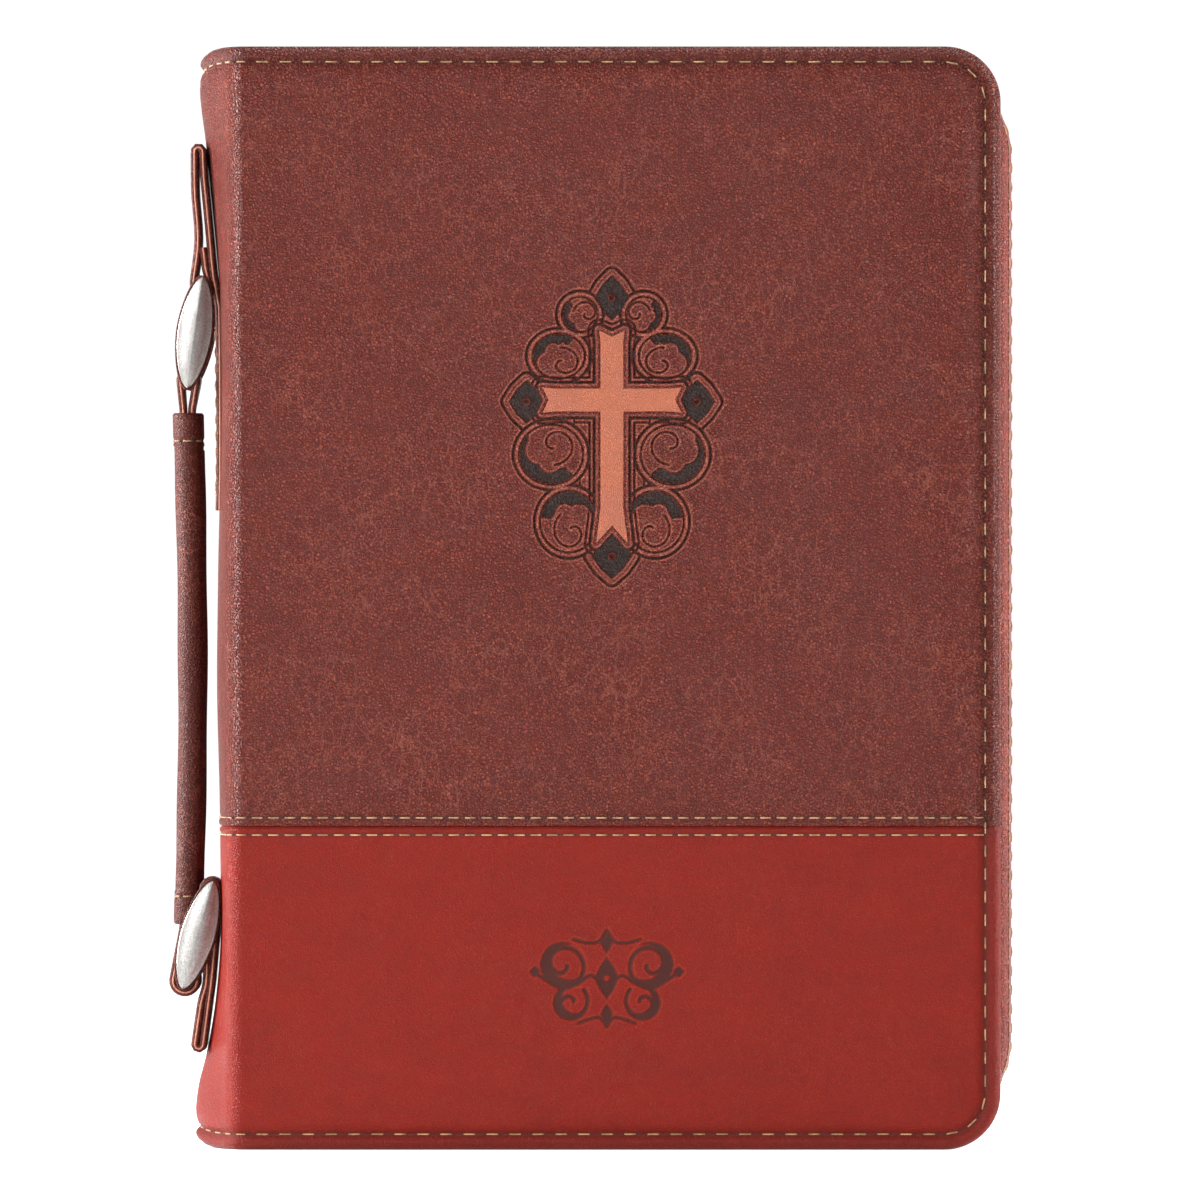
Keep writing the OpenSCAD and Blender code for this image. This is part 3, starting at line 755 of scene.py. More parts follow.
def volute(cx, cz, r, start, turns, steps=46, tighten=0.72):
    """A scroll that winds in from radius r; turns is signed, in half turns."""
    t = np.linspace(0, 1, steps)
    a = (start + turns * t) * math.pi
    radius = r * (1 - tighten * t)
    return np.stack([cx + radius * np.cos(a), cz + radius * np.sin(a)], axis=1)


# Round lobes of the frame beside the cross: middle, radii, where the scroll starts (half turns)
# and which way it winds.  Only the right half is listed; the left mirrors it.
LOBES = (
    (8.0, 21.4, 5.9, 5.9, 0.95, -1),
    (13.3, 11.0, 8.1, 7.0, 1.35, -1),
    (15.2, -13.6, 9.5, 8.9, 0.6, 1),
    (10.8, -30.4, 8.6, 9.2, 1.4, 1),
)
# Pointed finials: middle, half width and half height of the dark part, where its ring is
FINIALS = (((0.0, 25.6), 4.3, 5.6), ((21.3, -0.4), 4.4, 5.4), ((0.0, -39.0), 5.0, 5.6))
FINIAL_EDGE = 1.9
LINE_W = 0.5
FINE_LINE_W = 0.32
RIBBON_W = 1.45           # leather left standing between two lines
MARGIN_W = 1.55           # leather left plain round the cross
PRESS_SOFT = 0.3          # how gently the sides of a pressed line slope


def finial(middle, half_w, half_h):
    """Outline of a pointed finial with slightly swelling sides."""
    (cx, cz), bulge = middle, 0.56
    points = []
    for a, b in ((1, 0), (bulge, bulge), (0, 1), (-bulge, bulge), (-1, 0), (-bulge, -bulge),
                 (0, -1), (bulge, -bulge)):
        points.append((cx + half_w * a, cz + half_h * b))
    return points


def pressed_lobe(x, z, lobe):
    """A scroll in one lobe: a ribbon round it, a lobed leaf hugging its outer side and a curl."""
    cx, cz, rx, rz, start, wind = lobe
    r = 0.5 * (rx + rz)
    px, pz = (x - cx) / rx * r, (z - cz) / rz * r
    edge = np.hypot(px, pz) - r
    turn = np.arctan2(pz, px)
    ribbon = np.abs(edge + RIBBON_W) - 0.5 * FINE_LINE_W
    lean = start * math.pi
    eye_x = px - 0.3 * r * math.cos(lean)
    eye_z = pz - 0.3 * r * math.sin(lean)
    swing = np.cos(turn - lean - 0.9 * wind)
    frill = 1 + 0.17 * np.abs(np.sin(2.4 * (turn - lean))) * (swing < 0.2)
    leaf = np.maximum(edge + RIBBON_W + 0.3, 0.7 * r * frill - np.hypot(eye_x, eye_z))
    leaf = np.maximum(leaf, swing * r - 0.42 * r)
    curl = volute(0.3 * r * math.cos(lean), 0.3 * r * math.sin(lean), 0.58 * r, start + 0.9 * wind,
                  -1.9 * wind, tighten=0.8)
    curl = segment_distance(px, pz, curl) - 0.5 * FINE_LINE_W
    return np.minimum(np.minimum(ribbon, leaf), curl), edge


FAR = 99.0                            # a distance beyond any pressed line
RIM_AT, RIM_W = 0.34, 0.13            # where the painted highlight rim beside a pressed line lies, its width


def pressed_emblem(x, z):
    """How much each place is pressed in: 1 at the bottom, 0 on the face, and below 0 on the rims beside the
    pressed lines, where a painted highlight is laid."""
    x = np.abs(x)
    cross = ring_distance(x, z, cross_outline())
    body = np.hypot(x / 9.5, (z + 4.0) / 31.0) * 18 - 18
    dark = np.full(x.shape, FAR)
    lobes = np.full(x.shape, FAR)
    for lobe in LOBES:
        inside, edge = pressed_lobe(x, z, lobe)
        dark = np.where(edge < lobes, inside, dark)
        lobes = np.minimum(lobes, edge)
    tips = np.full(x.shape, FAR)
    for middle, half_w, half_h in FINIALS:
        shape = ring_distance(x, z, finial(middle, half_w, half_h))
        ring = np.abs(np.hypot(x - middle[0], z - middle[1]) - 0.75) - 0.22
        in_tip = (shape < FINIAL_EDGE) & (lobes > -0.5)
        dark = np.where(in_tip, np.maximum(shape, -ring), dark)
        tips = np.minimum(tips, shape - FINIAL_EDGE)
    gaps = (body < 0) & (lobes > 0.5) & (tips > 0.4) & (np.abs(z + 4) > 24)
    dark = np.where(gaps, np.minimum(dark, np.maximum(0.5 - lobes, 0.4 - tips)), dark)
    frame_edge = np.minimum(np.minimum(lobes, tips), body)
    dark = np.minimum(dark, np.abs(frame_edge) - 0.5 * LINE_W)
    dark = np.minimum(dark, np.maximum(np.abs(lobes) - 0.5 * LINE_W, frame_edge))
    dark = np.maximum(dark, MARGIN_W - cross)
    dark = np.minimum(dark, np.abs(cross - MARGIN_W) - 0.5 * LINE_W)
    second = np.maximum(np.abs(cross - MARGIN_W - 1.15) - 0.5 * FINE_LINE_W, frame_edge)
    dark = np.minimum(dark, second)
    # painted highlight: a narrow rim just outside each pressed line goes below 0, so it takes the light colour
    rim_highlight_bells = bell((dark - RIM_AT) / RIM_W)
    return smooth_step(0.5 - dark / PRESS_SOFT) - 0.6 * rim_highlight_bells


BAND_MARK_X = 3.75
BAND_MARK_Z = 43.0
# The right half of the flourish, from its middle.  Scrolls: centre, radius, start and turns in
# half turns, width of line
FLOURISH_SCROLLS = ((11.0, 3.4, 5.8, 1.3, -2.2, 0.95), (9.0, -6.2, 4.6, 0.75, 2.1, 0.9))
# Twigs: points along a smooth line, width of line
FLOURISH_TWIGS = (
    ([(1.8, -0.6), (4.2, 0.6), (7.0, -1.2), (11.0, -2.6), (15.0, -0.6), (18.2, 1.6)], 0.8),
    ([(0.0, 12.0), (1.9, 9.2), (5.0, 8.8), (8.4, 9.7)], 0.7),
    ([(0.0, -12.2), (1.8, -9.9), (4.6, -10.4), (7.2, -11.4)], 0.7),
)
# Diamonds: centre, half width, half height
FLOURISH_DIAMONDS = ((0.0, 0.0, 3.0, 5.2), (0.0, 8.8, 1.5, 2.5), (0.0, -9.0, 1.5, 2.5),
                     (18.0, 1.6, 1.4, 1.4))
# Crescents: centre, radius, and how far the hollow inside is moved
FLOURISH_CRESCENTS = ((11.0, 3.4, 5.6, -1.6, 0.6), (9.0, -6.2, 4.4, -1.2, 0.9))
CRESCENT_HOLLOW = 0.8                 # size of the hollow against the crescent
FLOURISH_EYE_R = 0.75


def pressed_flourish(x, z):
    """A symmetrical flourish of paired scrolls, leaves and diamonds."""
    x = np.abs(x)
    lines = [(volute(cx, cz, r, start, turns, tighten=0.8), width)
             for cx, cz, r, start, turns, width in FLOURISH_SCROLLS]
    lines += [(smooth_curve(points), width) for points, width in FLOURISH_TWIGS]
    dark = np.full(x.shape, FAR)
    for line, width in lines:
        dark = np.minimum(dark, segment_distance(x, z, line) - 0.5 * width)
    for cx, cz, half_w, half_h in FLOURISH_DIAMONDS:
        dark = np.minimum(dark, ring_distance(x, z, finial((cx, cz), half_w, half_h)))
    for cx, cz, r, shift_x, shift_z in FLOURISH_CRESCENTS:
        outer = np.hypot(x - cx, z - cz) - r
        hollow = np.hypot(x - cx - shift_x, z - cz - shift_z) - CRESCENT_HOLLOW * r
        dark = np.minimum(dark, np.maximum(outer, -hollow))
    dark = np.maximum(dark, FLOURISH_EYE_R - np.hypot(x, z))
    # the rim below 0 beside each line is a painted highlight
    return smooth_step(0.5 - dark / PRESS_SOFT) - 0.3 * bell((dark - RIM_AT) / RIM_W)


PRESS_DEPTH = 0.42
FLOURISH_DEPTH = 0.3
EMBLEM_REACH = (29.0, 49.0, 35.0)     # half width, below and above the cross's middle
FLOURISH_REACH = (20.0, 13.5)


def press_front(u, z):
    """Depth and ink of everything pressed into the front cover, with painted highlight rims beside the pressed
    lines.
    """
    depth = np.zeros_like(u)
    ink = np.zeros_like(u)
    x = flat_x(u)
    half_w, below, above = EMBLEM_REACH
    near = (np.abs(x - CROSS_X) < half_w) & (z > CROSS_Z - below) & (z < CROSS_Z + above)
    ink[near] = pressed_emblem(x[near] - CROSS_X, z[near] - CROSS_Z)
    depth += PRESS_DEPTH * np.maximum(ink, 0)
    # the cross lies in a shallow bed of its own
    bed = np.zeros_like(u)
    bed[near] = smooth_step(0.5 - ring_distance(x[near] - CROSS_X, z[near] - CROSS_Z,
                                                cross_outline()) / 0.3)
    depth += 0.5 * bed
    half_w, half_h = FLOURISH_REACH
    near = (np.abs(x - BAND_MARK_X) < half_w) & (np.abs(z - BAND_MARK_Z) < half_h)
    mark = pressed_flourish(x[near] - BAND_MARK_X, z[near] - BAND_MARK_Z)
    ink[near] = 0.85 * mark
    depth[near] += FLOURISH_DEPTH * np.maximum(mark, 0)
    return depth, ink


def press_nothing(u, z):
    return np.zeros_like(u), np.zeros_like(u)


# ---------------------------------------------------------------- covers and spine

FINE = 0.3
FLOURISH_FINE = 0.35
FACE_STEP = 1.3


def fold_blend(piece, side):
    """Bakes the piece's placement into its points."""
    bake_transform(piece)


def sheet_lines(side):
    """Grid lines of one side's sheet for the upper leather and for the band."""
    fold = (FOLD_U - 5, FOLD_U + 5, 0.5)
    seam = (SEAM_Z - 3.6, SEAM_Z + 3.6, 0.3)
    skirt = [SEAM_Z - LAP_SKIRT]
    if side == BACK:
        plain_u = spread(0, SHEET_U - CORNER_R, 1.8, fine=[fold])
        plain_z = spread(CORNER_R, TOP_Z - CORNER_R, 1.8, fine=[seam], extra=skirt)
        return [(plain_u, plain_z)] * 2
    half_w, below, above = EMBLEM_REACH
    cross_u = flat_u(CROSS_X)
    upper = (spread(0, SHEET_U - CORNER_R, FACE_STEP,
                    fine=[fold, (cross_u - half_w, cross_u + half_w, FINE)]),
             spread(CORNER_R, TOP_Z - CORNER_R, FACE_STEP,
                    fine=[seam, (CROSS_Z - below, CROSS_Z + above, FINE)], extra=skirt))
    half_w, half_h = FLOURISH_REACH
    mark_u = flat_u(BAND_MARK_X)
    lower = (spread(0, SHEET_U - CORNER_R, FACE_STEP,
                    fine=[fold, (mark_u - half_w, mark_u + half_w, FLOURISH_FINE)]),
             spread(CORNER_R, TOP_Z - CORNER_R, FACE_STEP,
                    fine=[seam, (BAND_MARK_Z - half_h, BAND_MARK_Z + half_h, FLOURISH_FINE)]))
    return upper, lower


def make_skins():
    for side, word in ((FRONT, "front"), (BACK, "back")):
        press = press_front if side == FRONT else press_nothing
        for (u_lines, z_lines), above in zip(sheet_lines(side), (True, False)):
            kind = "upper_panel" if above else "lower_band"
            whole = leather_sheet(side, u_lines, z_lines, press, above)
            points, sheet, ink, faces = part_of(*whole, above=above)
            piece = new_mesh(f"{word}_{kind}_leather", points, faces,
                             slot="panel_leather" if above else "band_leather",
                             material=MAT["panel" if above else "band"], sharp=70,
                             sheet=sheet, ink=ink)
            fold_blend(piece, side)
            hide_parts(f"{word}_{kind}", f"spine_{kind}")


make_skins()


# ---------------------------------------------------------------- stitching

THREAD_R = 0.2
STITCH_SIDES = 6
# along the stitch, height over the leather, and how fat the thread is there
STITCH_RISE = ((0.0, -0.3, 0.7), (0.14, 0.08, 1.0), (0.5, 0.2, 1.05), (0.86, 0.08, 1.0),
               (1.0, -0.3, 0.7))


def stitch(start, end, normal):
    along = unit(end - start)
    across = np.cross(along, normal)
    rings = []
    for t, rise, fat in STITCH_RISE:
        middle = start + t * (end - start) + rise * normal
        for a in np.linspace(0, 2 * math.pi, STITCH_SIDES, endpoint=False):
            rings.append(middle + THREAD_R * fat * (math.cos(a) * across + math.sin(a) * normal))
    return np.array(rings), swept_faces(len(STITCH_RISE), STITCH_SIDES)


def needle_hole_shade(place, normal, radius=0.42, sides=8):
    """A low dark lens over the place where a stitch goes in: painted shade standing for the hole."""
    across = unit(np.cross(normal, (0.3, 0.5, 0.8)))
    other = np.cross(normal, across)
    turn = np.linspace(0, 2 * math.pi, sides, endpoint=False)
    ring = [place + radius * (math.cos(a) * across + math.sin(a) * other) for a in turn]
    points = np.array(ring + [place + 0.05 * normal, place - 0.2 * normal])
    faces = []
    for i in range(sides):
        j = (i + 1) % sides
        faces += [[i, j, sides], [j, i, sides + 1]]
    return points, faces


def stitch_row(name, spots, attach, slot="thread"):
    """A row of stitches; spots are (start, end, normal).  attach is called on each piece: it makes the piece move
    with its body or bakes its placement."""
    spots = [(np.asarray(a), np.asarray(b), unit(np.asarray(n))) for a, b, n in spots]
    points, faces = joined([stitch(a, b, n) for a, b, n in spots])
    thread = new_mesh(name, points, faces, slot=slot, material=MAT["thread"], sharp=80)
    # painted shade: a dark lens at both ends of each stitch stands for the needle hole
    ends = [needle_hole_shade(p, n) for a, b, n in spots for p in (a, b)]
    points, faces = joined(ends)
    hole_shades = new_mesh(name + "_holes", points, faces, slot=slot, material=MAT["hole"])
    for piece in (thread, hole_shades):
        attach(piece)


def spots_along(count_length, pitch, size, at):
    """Stitches of one size at an equal pitch; at(s) gives the point and normal at a length s."""
    count = int(count_length / pitch)
    first = 0.5 * (count_length - (count - 1) * pitch)
    spots = []
    for i in range(count):
        s = first + i * pitch
        (a, normal), (b, _) = at(s - 0.5 * size), at(s + 0.5 * size)
        spots.append((a, b, normal))
    return spots


EDGE_PITCH, EDGE_STITCH = 5.75, 3.4
SEAM_PITCH, SEAM_STITCH = 4.1, 3.1
SEAM_SLANT = 0.16


def sheet_spot(side, u, z, above=True):
    """Point and normal on the finished leather."""
    u, z = np.array([u], float), np.array([z], float)
    depth = finished_depth(u, z, above)
    return on_sheet(side, u, z, depth)[0], sheet_normal(side, u)[0]


def edge_row_path():
    """(u, z) along the row of stitches that goes round a cover's edge."""
    r = CORNER_R - STITCH_IN
    turn = np.linspace(-0.5 * math.pi, 0, 16)
    low = [(SHEET_U - CORNER_R + r * math.cos(a), CORNER_R + r * math.sin(a)) for a in turn]
    high = [(u, TOP_Z - z) for u, z in low[::-1]]
    return resample([(0.6, STITCH_IN)] + low + high + [(0.6, TOP_Z - STITCH_IN)], 0.5)


def make_sheet_stitches():
    """The row round each cover's edge and the two rows along its seam."""
    path = edge_row_path()
    length = 0.5 * (len(path) - 1)
    steps = np.arange(len(path)) * 0.5
    seam_length = SHEET_U - 2.2
    for side, word in ((FRONT, "front"), (BACK, "back")):
        def attach(piece, side=side):
            fold_blend(piece, side)

        def on_edge(s):
            u, z = (np.interp(s, steps, path[:, k]) for k in (0, 1))
            return sheet_spot(side, u, z, above=z > SEAM_Z)

        stitch_row(f"{word}_edge_stitches", spots_along(length, EDGE_PITCH, EDGE_STITCH, on_edge),
                   attach)
        for label, lift, above in (("upper", SEAM_STITCH_UP, True),
                                   ("lower", -SEAM_STITCH_DOWN, False)):
            def on_seam(s):
                slant = SEAM_SLANT if (s / SEAM_PITCH) % 1 > 0.5 else -SEAM_SLANT
                return sheet_spot(side, s, SEAM_Z + lift + slant, above)

            stitch_row(f"{word}_{label}_seam_stitches",
                       spots_along(seam_length, SEAM_PITCH, SEAM_STITCH, on_seam), attach)


make_sheet_stitches()


# ---------------------------------------------------------------- gusset and zip

GUSSET_LOW, GUSSET_HIGH = box_mm("front_gusset")
COIL_LOW = box_mm("zip_coil_front")[0]
TAPE_LOW, TAPE_HIGH = box_mm("zip_tape_front")
GUSSET_R = 22.0


def hoop_path():
    """The zip's line round the open edges, in X and Z, with lengths and directions inwards."""
    left, right = GUSSET_LOW.x, GUSSET_HIGH.x
    low, high = GUSSET_LOW.z, GUSSET_HIGH.z
    turn = np.linspace(-0.5 * math.pi, 0, 40)
    corner = [(right - GUSSET_R + GUSSET_R * math.cos(a), low + GUSSET_R + GUSSET_R * math.sin(a))
              for a in turn]
    line = [(left, low)] + corner + [(x, low + high - z) for x, z in corner[::-1]] + [(left, high)]
    points = resample(line, 0.5)
    along = unit(np.gradient(points, axis=0))
    inward = np.stack([-along[:, 1], along[:, 0]], axis=1)
    return 0.5 * np.arange(len(points)), points, inward


HOOP_S, HOOP_P, HOOP_IN = hoop_path()
HOOP_L = HOOP_S[-1]


def hoop_point(s, inset, y):
    x, z = (np.interp(s, HOOP_S, HOOP_P[:, k] + inset * HOOP_IN[:, k]) for k in (0, 1))
    return np.stack(np.broadcast_arrays(x, y, z), axis=-1)


def hoop_out(s):
    x, z = (-np.interp(s, HOOP_S, HOOP_IN[:, k]) for k in (0, 1))
    return np.array([x, 0.0, z])


def hoop_sweep(name, section, side, start=0.0, **options):
    """A strip round the hoop; its section is a ring of (inset, distance from the middle)."""
    stations = np.linspace(start, HOOP_L - start, 260)
    rings = [[hoop_point(s, inset, side * y) for inset, y in section] for s in stations]
    return swept(name, rings, **options)


# The gusset comes out from under the cover, swells and ends in a fold beside the zip
GUSSET_SECTION = ((3.2, 21.25), (2.1, 20.4), (1.3, 19.2), (0.6, 16.8), (0.2, 13.5), (0.0, 9.5),
                  (0.0, 5.7), (0.12, 5.15), (0.5, 4.95), (0.95, 5.2), (1.1, 6.0), (1.2, 13.0),
                  (1.7, 17.0), (2.8, 19.6), (4.4, 20.35), (7.0, 20.45), (7.0, 21.25))
TOOTH_PITCH = 1.4
# along a tooth: distance from the middle of the zip, and its size
TOOTH_RINGS = ((-0.3, 0.35), (-0.12, 0.85), (0.25, 1.0), (0.7, 0.82), (1.3, 0.8), (1.85, 0.7))
TOOTH_HALF_W, TOOTH_HALF_H = 0.46, 0.72
TOOTH_SIDES = 8


def coil_teeth(side, word):
    """The teeth of one coil, spaced along the hoop; the two coils mesh half a pitch apart."""
    first = COIL_LOW.x - GUSSET_LOW.x
    phase = 0.25 if side == FRONT else -0.25
    count = int((HOOP_L - 2 * first) / TOOTH_PITCH)
    turn = np.linspace(0, 2 * math.pi, TOOTH_SIDES, endpoint=False)
    teeth = []
    for i in range(count):
        s = first + (i + 0.5 + phase) * TOOTH_PITCH
        points = []
        for y, size in TOOTH_RINGS:
            for a in turn:
                inset = 0.85 - TOOTH_HALF_H * size * math.cos(a)
                along = s + TOOTH_HALF_W * size * math.sin(a)
                points.append(hoop_point(along, inset, side * y))
        teeth.append((points, swept_faces(len(TOOTH_RINGS), TOOTH_SIDES)))
    points, faces = joined(teeth)
    return new_mesh(f"{word}_coil_teeth", points, faces, body=f"case_{word}", slot="zip_coil",
                    material=MAT["coil"], sharp=80)


def make_gusset_and_zip():
    for side, word in ((FRONT, "front"), (BACK, "back")):
        body = f"case_{word}"

        def attach(piece, body=body):
            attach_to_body(piece, body)

        gusset = hoop_sweep(f"{word}_gusset_leather", GUSSET_SECTION, side, body=body,
                            slot="gusset_leather", material=MAT["gusset"])
        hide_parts(f"{word}_gusset")
        low, high = -TAPE_HIGH.y, -TAPE_LOW.y
        section = ((1.2, low), (1.2, high), (1.7, high), (1.7, low))
        tape = hoop_sweep(f"{word}_zip_tape_cloth", section, side, body=body, slot="zip_tape",
                          material=MAT["tape"])
        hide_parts(f"zip_tape_{word}")
        teeth = coil_teeth(side, word)
        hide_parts(f"zip_coil_{word}")
        core = ((0.7, 1.0), (0.55, 1.5), (0.75, 1.9), (1.15, 1.9), (1.15, 1.0))
        hoop_sweep(f"{word}_coil_cord", core, side, start=COIL_LOW.x - GUSSET_LOW.x, body=body,
                   slot="zip_coil", material=MAT["coil"])
        for label, inset, y, pitch in (("cover", 0.85, 17.8, 4.8), ("zip", 0.0, 6.6, 4.8)):
            def on_gusset(s):
                return hoop_point(s, inset, side * y), hoop_out(s)

            stitch_row(f"{word}_gusset_{label}_stitches",
                       spots_along(HOOP_L - 4, pitch, 3.2, lambda s: on_gusset(s + 2)), attach)
        stops = [clamp_shape(z, side) for z in (GUSSET_LOW.z, GUSSET_HIGH.z)]
        points, faces = joined(stops)
        clamps = new_mesh(f"{word}_zip_stop_clamps", points, faces, body=body, slot="old_silver",
                          material=MAT["silver"], sharp=30)
        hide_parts(f"zip_stops_{word}")


def inset_ring(outline, inset):
    """An outline moved inwards along its corner normals."""
    p = np.asarray(outline, float)
    before = unit(p - np.roll(p, 1, axis=0))
    after = unit(np.roll(p, -1, axis=0) - p)
    along = unit(before + after)
    return p + inset * np.stack([-along[:, 1], along[:, 0]], axis=1)


def slab(outline, low, high, bevel):
    """A plate with softened edges: (a, b, height) points of an anticlockwise outline, and faces."""
    levels = ((low, bevel), (low + bevel, 0.3 * bevel), (low + 1.2 * bevel, 0.0),
              (high - 1.2 * bevel, 0.0), (high - bevel, 0.3 * bevel), (high, bevel))
    rings = []
    for height, inset in levels:
        ring = inset_ring(outline, inset)
        rings.append(np.column_stack([ring, np.full(len(ring), height)]))
    points = np.vstack(rings)
    return points, swept_faces(len(levels), len(outline))


def rounded_box(a0, a1, b0, b1, r, steps=5):
    """Anticlockwise outline of a rectangle with round corners."""
    turn = np.linspace(0, 0.5 * math.pi, steps)
    corners = ((a1 - r, b1 - r, 0.0), (a0 + r, b1 - r, 0.5), (a0 + r, b0 + r, 1.0),
               (a1 - r, b0 + r, 1.5))
    return [(ca + r * math.cos(t + q * math.pi), cb + r * math.sin(t + q * math.pi))
            for ca, cb, q in corners for t in turn]


def clamp_shape(z, side):
    """A small metal stop squeezed round the coil, at the zip's lower or upper end."""
    low, high = box_mm("zip_stops_front")
    inwards = 1 if z < 0.5 * TOP_Z else -1
    a0, a1 = sorted((-side * low.y, -side * high.y))
    points, faces = slab(rounded_box(low.x, high.x, a0, a1, 0.5), 0.0, 1.9, 0.3)
    points = np.column_stack([points[:, 0], points[:, 1], z + inwards * points[:, 2]])
    return points, faces


make_gusset_and_zip()


# ---------------------------------------------------------------- slider and pull

SLIDER_LOW, SLIDER_HIGH = box_mm("slider_body")
PIN_LOW, PIN_HIGH = box_mm("pull_pin")
TAB_HIGH = box_mm("pull_tab")[1]
PULL_LOW, PULL_HIGH = box_mm("pull_leather")
PIN_X = 0.5 * (PIN_LOW.x + PIN_HIGH.x)
PIN_Z = 0.5 * (PIN_LOW.z + PIN_HIGH.z)
PIN_R = 0.5 * (PIN_HIGH.z - PIN_LOW.z)


def rod(name, centre_x, centre_z, reach, radius, **options):
    """A round bar along Y with domed ends."""
    turn = np.linspace(0, 2 * math.pi, 18, endpoint=False)
    stations = ((-reach, 0.55), (-reach + 0.15, 0.85), (-reach + 0.4, 1.0), (reach - 0.4, 1.0),
                (reach - 0.15, 0.85), (reach, 0.55))
    rings = [[(centre_x + radius * f * math.cos(a), y, centre_z + radius * f * math.sin(a))
              for a in turn] for y, f in stations]
    return swept(name, rings, **options)


def upright_slab(outline, low, high, bevel):
    """A slab lying in X and Z, thickened along Y."""
    points, faces = slab(outline, low, high, bevel)
    return np.column_stack([points[:, 0], points[:, 2], points[:, 1]]), faces


def eye_plate(reach, width):
    """Outline in X and Z of a plate round the pull's pin, running on towards +X."""
    r = 0.5 * width
    turn = np.linspace(0.5 * math.pi, 1.5 * math.pi, 14)
    return ([(PIN_X + r * math.cos(a), PIN_Z + r * math.sin(a)) for a in turn]
            + [(reach, PIN_Z - r), (reach, PIN_Z + r)])


def make_slider():
    """A slider with its two plates, the web between them, side rails and the ears of the pull."""
    half_w = SLIDER_HIGH.y
    nose, tail = SLIDER_LOW.x, SLIDER_HIGH.x
    shield = [(tail - 1.2, half_w - 1.0), (nose + 4.0, half_w), (nose + 1.0, half_w - 0.8),
              (nose, half_w - 2.4), (nose + 0.6, 0.0), (nose, 2.4 - half_w),
              (nose + 1.0, 0.8 - half_w), (nose + 4.0, -half_w), (tail - 1.2, 1.0 - half_w),
              (tail, 2.0 - half_w), (tail, half_w - 2.0)]
    top = GUSSET_HIGH.z
    parts = [slab(shield, SLIDER_LOW.z, SLIDER_LOW.z + 1.2, 0.3),
             slab(shield, top + 0.3, top + 1.5, 0.35)]
    parts.append(slab(rounded_box(nose + 0.3, nose + 1.9, -0.35, 0.35, 0.3), SLIDER_LOW.z + 1.0,
                      top + 0.5, 0.1))
    for y in (-half_w + 0.9, half_w - 0.9):
        rail = rounded_box(nose + 2.6, tail - 2.0, y - 0.6, y + 0.6, 0.4)
        parts.append(slab(rail, top - 0.8, top + 0.6, 0.15))
    ear = [(PIN_X - 2.0, top + 1.3), (PIN_X + 2.0, top + 1.3), (PIN_X + 1.2, PIN_Z + 0.5),
           (PIN_X + 0.5, SLIDER_HIGH.z), (PIN_X - 0.5, SLIDER_HIGH.z), (PIN_X - 1.2, PIN_Z + 0.5)]
    for y in (-2.4, 1.6):
        parts.append(upright_slab(ear, y, y + 0.8, 0.2))
    points, faces = joined(parts)
    slider = new_mesh("slider_casting", points, faces, body="zip_slider", slot="old_silver",
                      material=MAT["silver"], sharp=30)
    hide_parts("slider_body")
    pin = rod("pull_rivet", PIN_X, PIN_Z, PIN_HIGH.y + 0.1, PIN_R, body="zip_slider",
              slot="old_silver", material=MAT["silver"])
    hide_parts("pull_pin")


def make_pull():
    """The pull's metal eye and the leather tab that is clamped to it."""
    link = eye_plate(TAB_HIGH.x, 2.5)
    points, faces = upright_slab(link, -TAB_HIGH.y, TAB_HIGH.y, 0.25)
    metal_tab = new_mesh("pull_link", points, faces, body="zip_pull", slot="old_silver",
                         material=MAT["silver"], sharp=30)
    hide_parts("pull_tab")
    half_w = PULL_HIGH.y
    x0, x1 = PULL_LOW.x, PULL_HIGH.x
    turn = np.linspace(-0.5 * math.pi, 0.5 * math.pi, 12)
    end_r = half_w
    strip = ([(x0, -0.62 * half_w), (x0 + 5, -0.8 * half_w)]
             + [(x1 - end_r + end_r * math.cos(a), end_r * math.sin(a)) for a in turn]
             + [(x0 + 5, 0.8 * half_w), (x0, 0.62 * half_w)])
    points, faces = slab(strip, PULL_LOW.z, PULL_HIGH.z, 0.35)
    tab = new_mesh("pull_leather_tab", points, faces, body="zip_pull", slot="strap_leather",
                   material=MAT["strap"])
    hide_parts("pull_leather")
    inner = resample(inset_ring(strip, 1.0), 0.25)
    spots = []
    for low, up in ((PULL_HIGH.z, 1), (PULL_LOW.z, -1)):
        for a, b in zip(inner[2::10], inner[9::10]):
            spots.append(((*a, low), (*b, low), (0, 0, up)))
    stitch_row("pull_stitches", spots, lambda piece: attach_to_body(piece, "zip_pull"))


make_slider()
make_pull()


# ---------------------------------------------------------------- handle

UPPER_BAR = joint_mm("handle_swing")
GRIP_TOP_BAR = joint_mm("grip_swing")
LOWER_BAR = joint_mm("lower_link_swing")
LINK_L = (UPPER_BAR - GRIP_TOP_BAR).length
LOWER_TILT = math.radians(16)
GRIP_LOW_BAR = LOWER_BAR - LINK_L * Vector((math.sin(LOWER_TILT), 0, math.cos(LOWER_TILT)))
GRIP_LOW, GRIP_HIGH = box_mm("grip_sleeve")
GRIP_X = 0.5 * (GRIP_LOW.x + GRIP_HIGH.x)
GRIP_R = 0.5 * (GRIP_HIGH.x - GRIP_LOW.x)
STRAP_HALF_W = box_mm("upper_anchor_strap")[1].y
STRAP_T = 1.95
BAR_R = 0.9
LOOP_R = BAR_R + 0.2 + 0.5 * STRAP_T
FOLD_BEND_R = 0.5 * STRAP_T + 0.06


CAD_STRAP_T = 1.1


def loop(bar, start, stop, radius=LOOP_R, steps=14):
    """Points of a strap round a bar; angles in half turns, from +X over +Z."""
    return [(bar.x + radius * math.cos(a * math.pi), bar.z + radius * math.sin(a * math.pi))
            for a in np.linspace(start, stop, steps)]


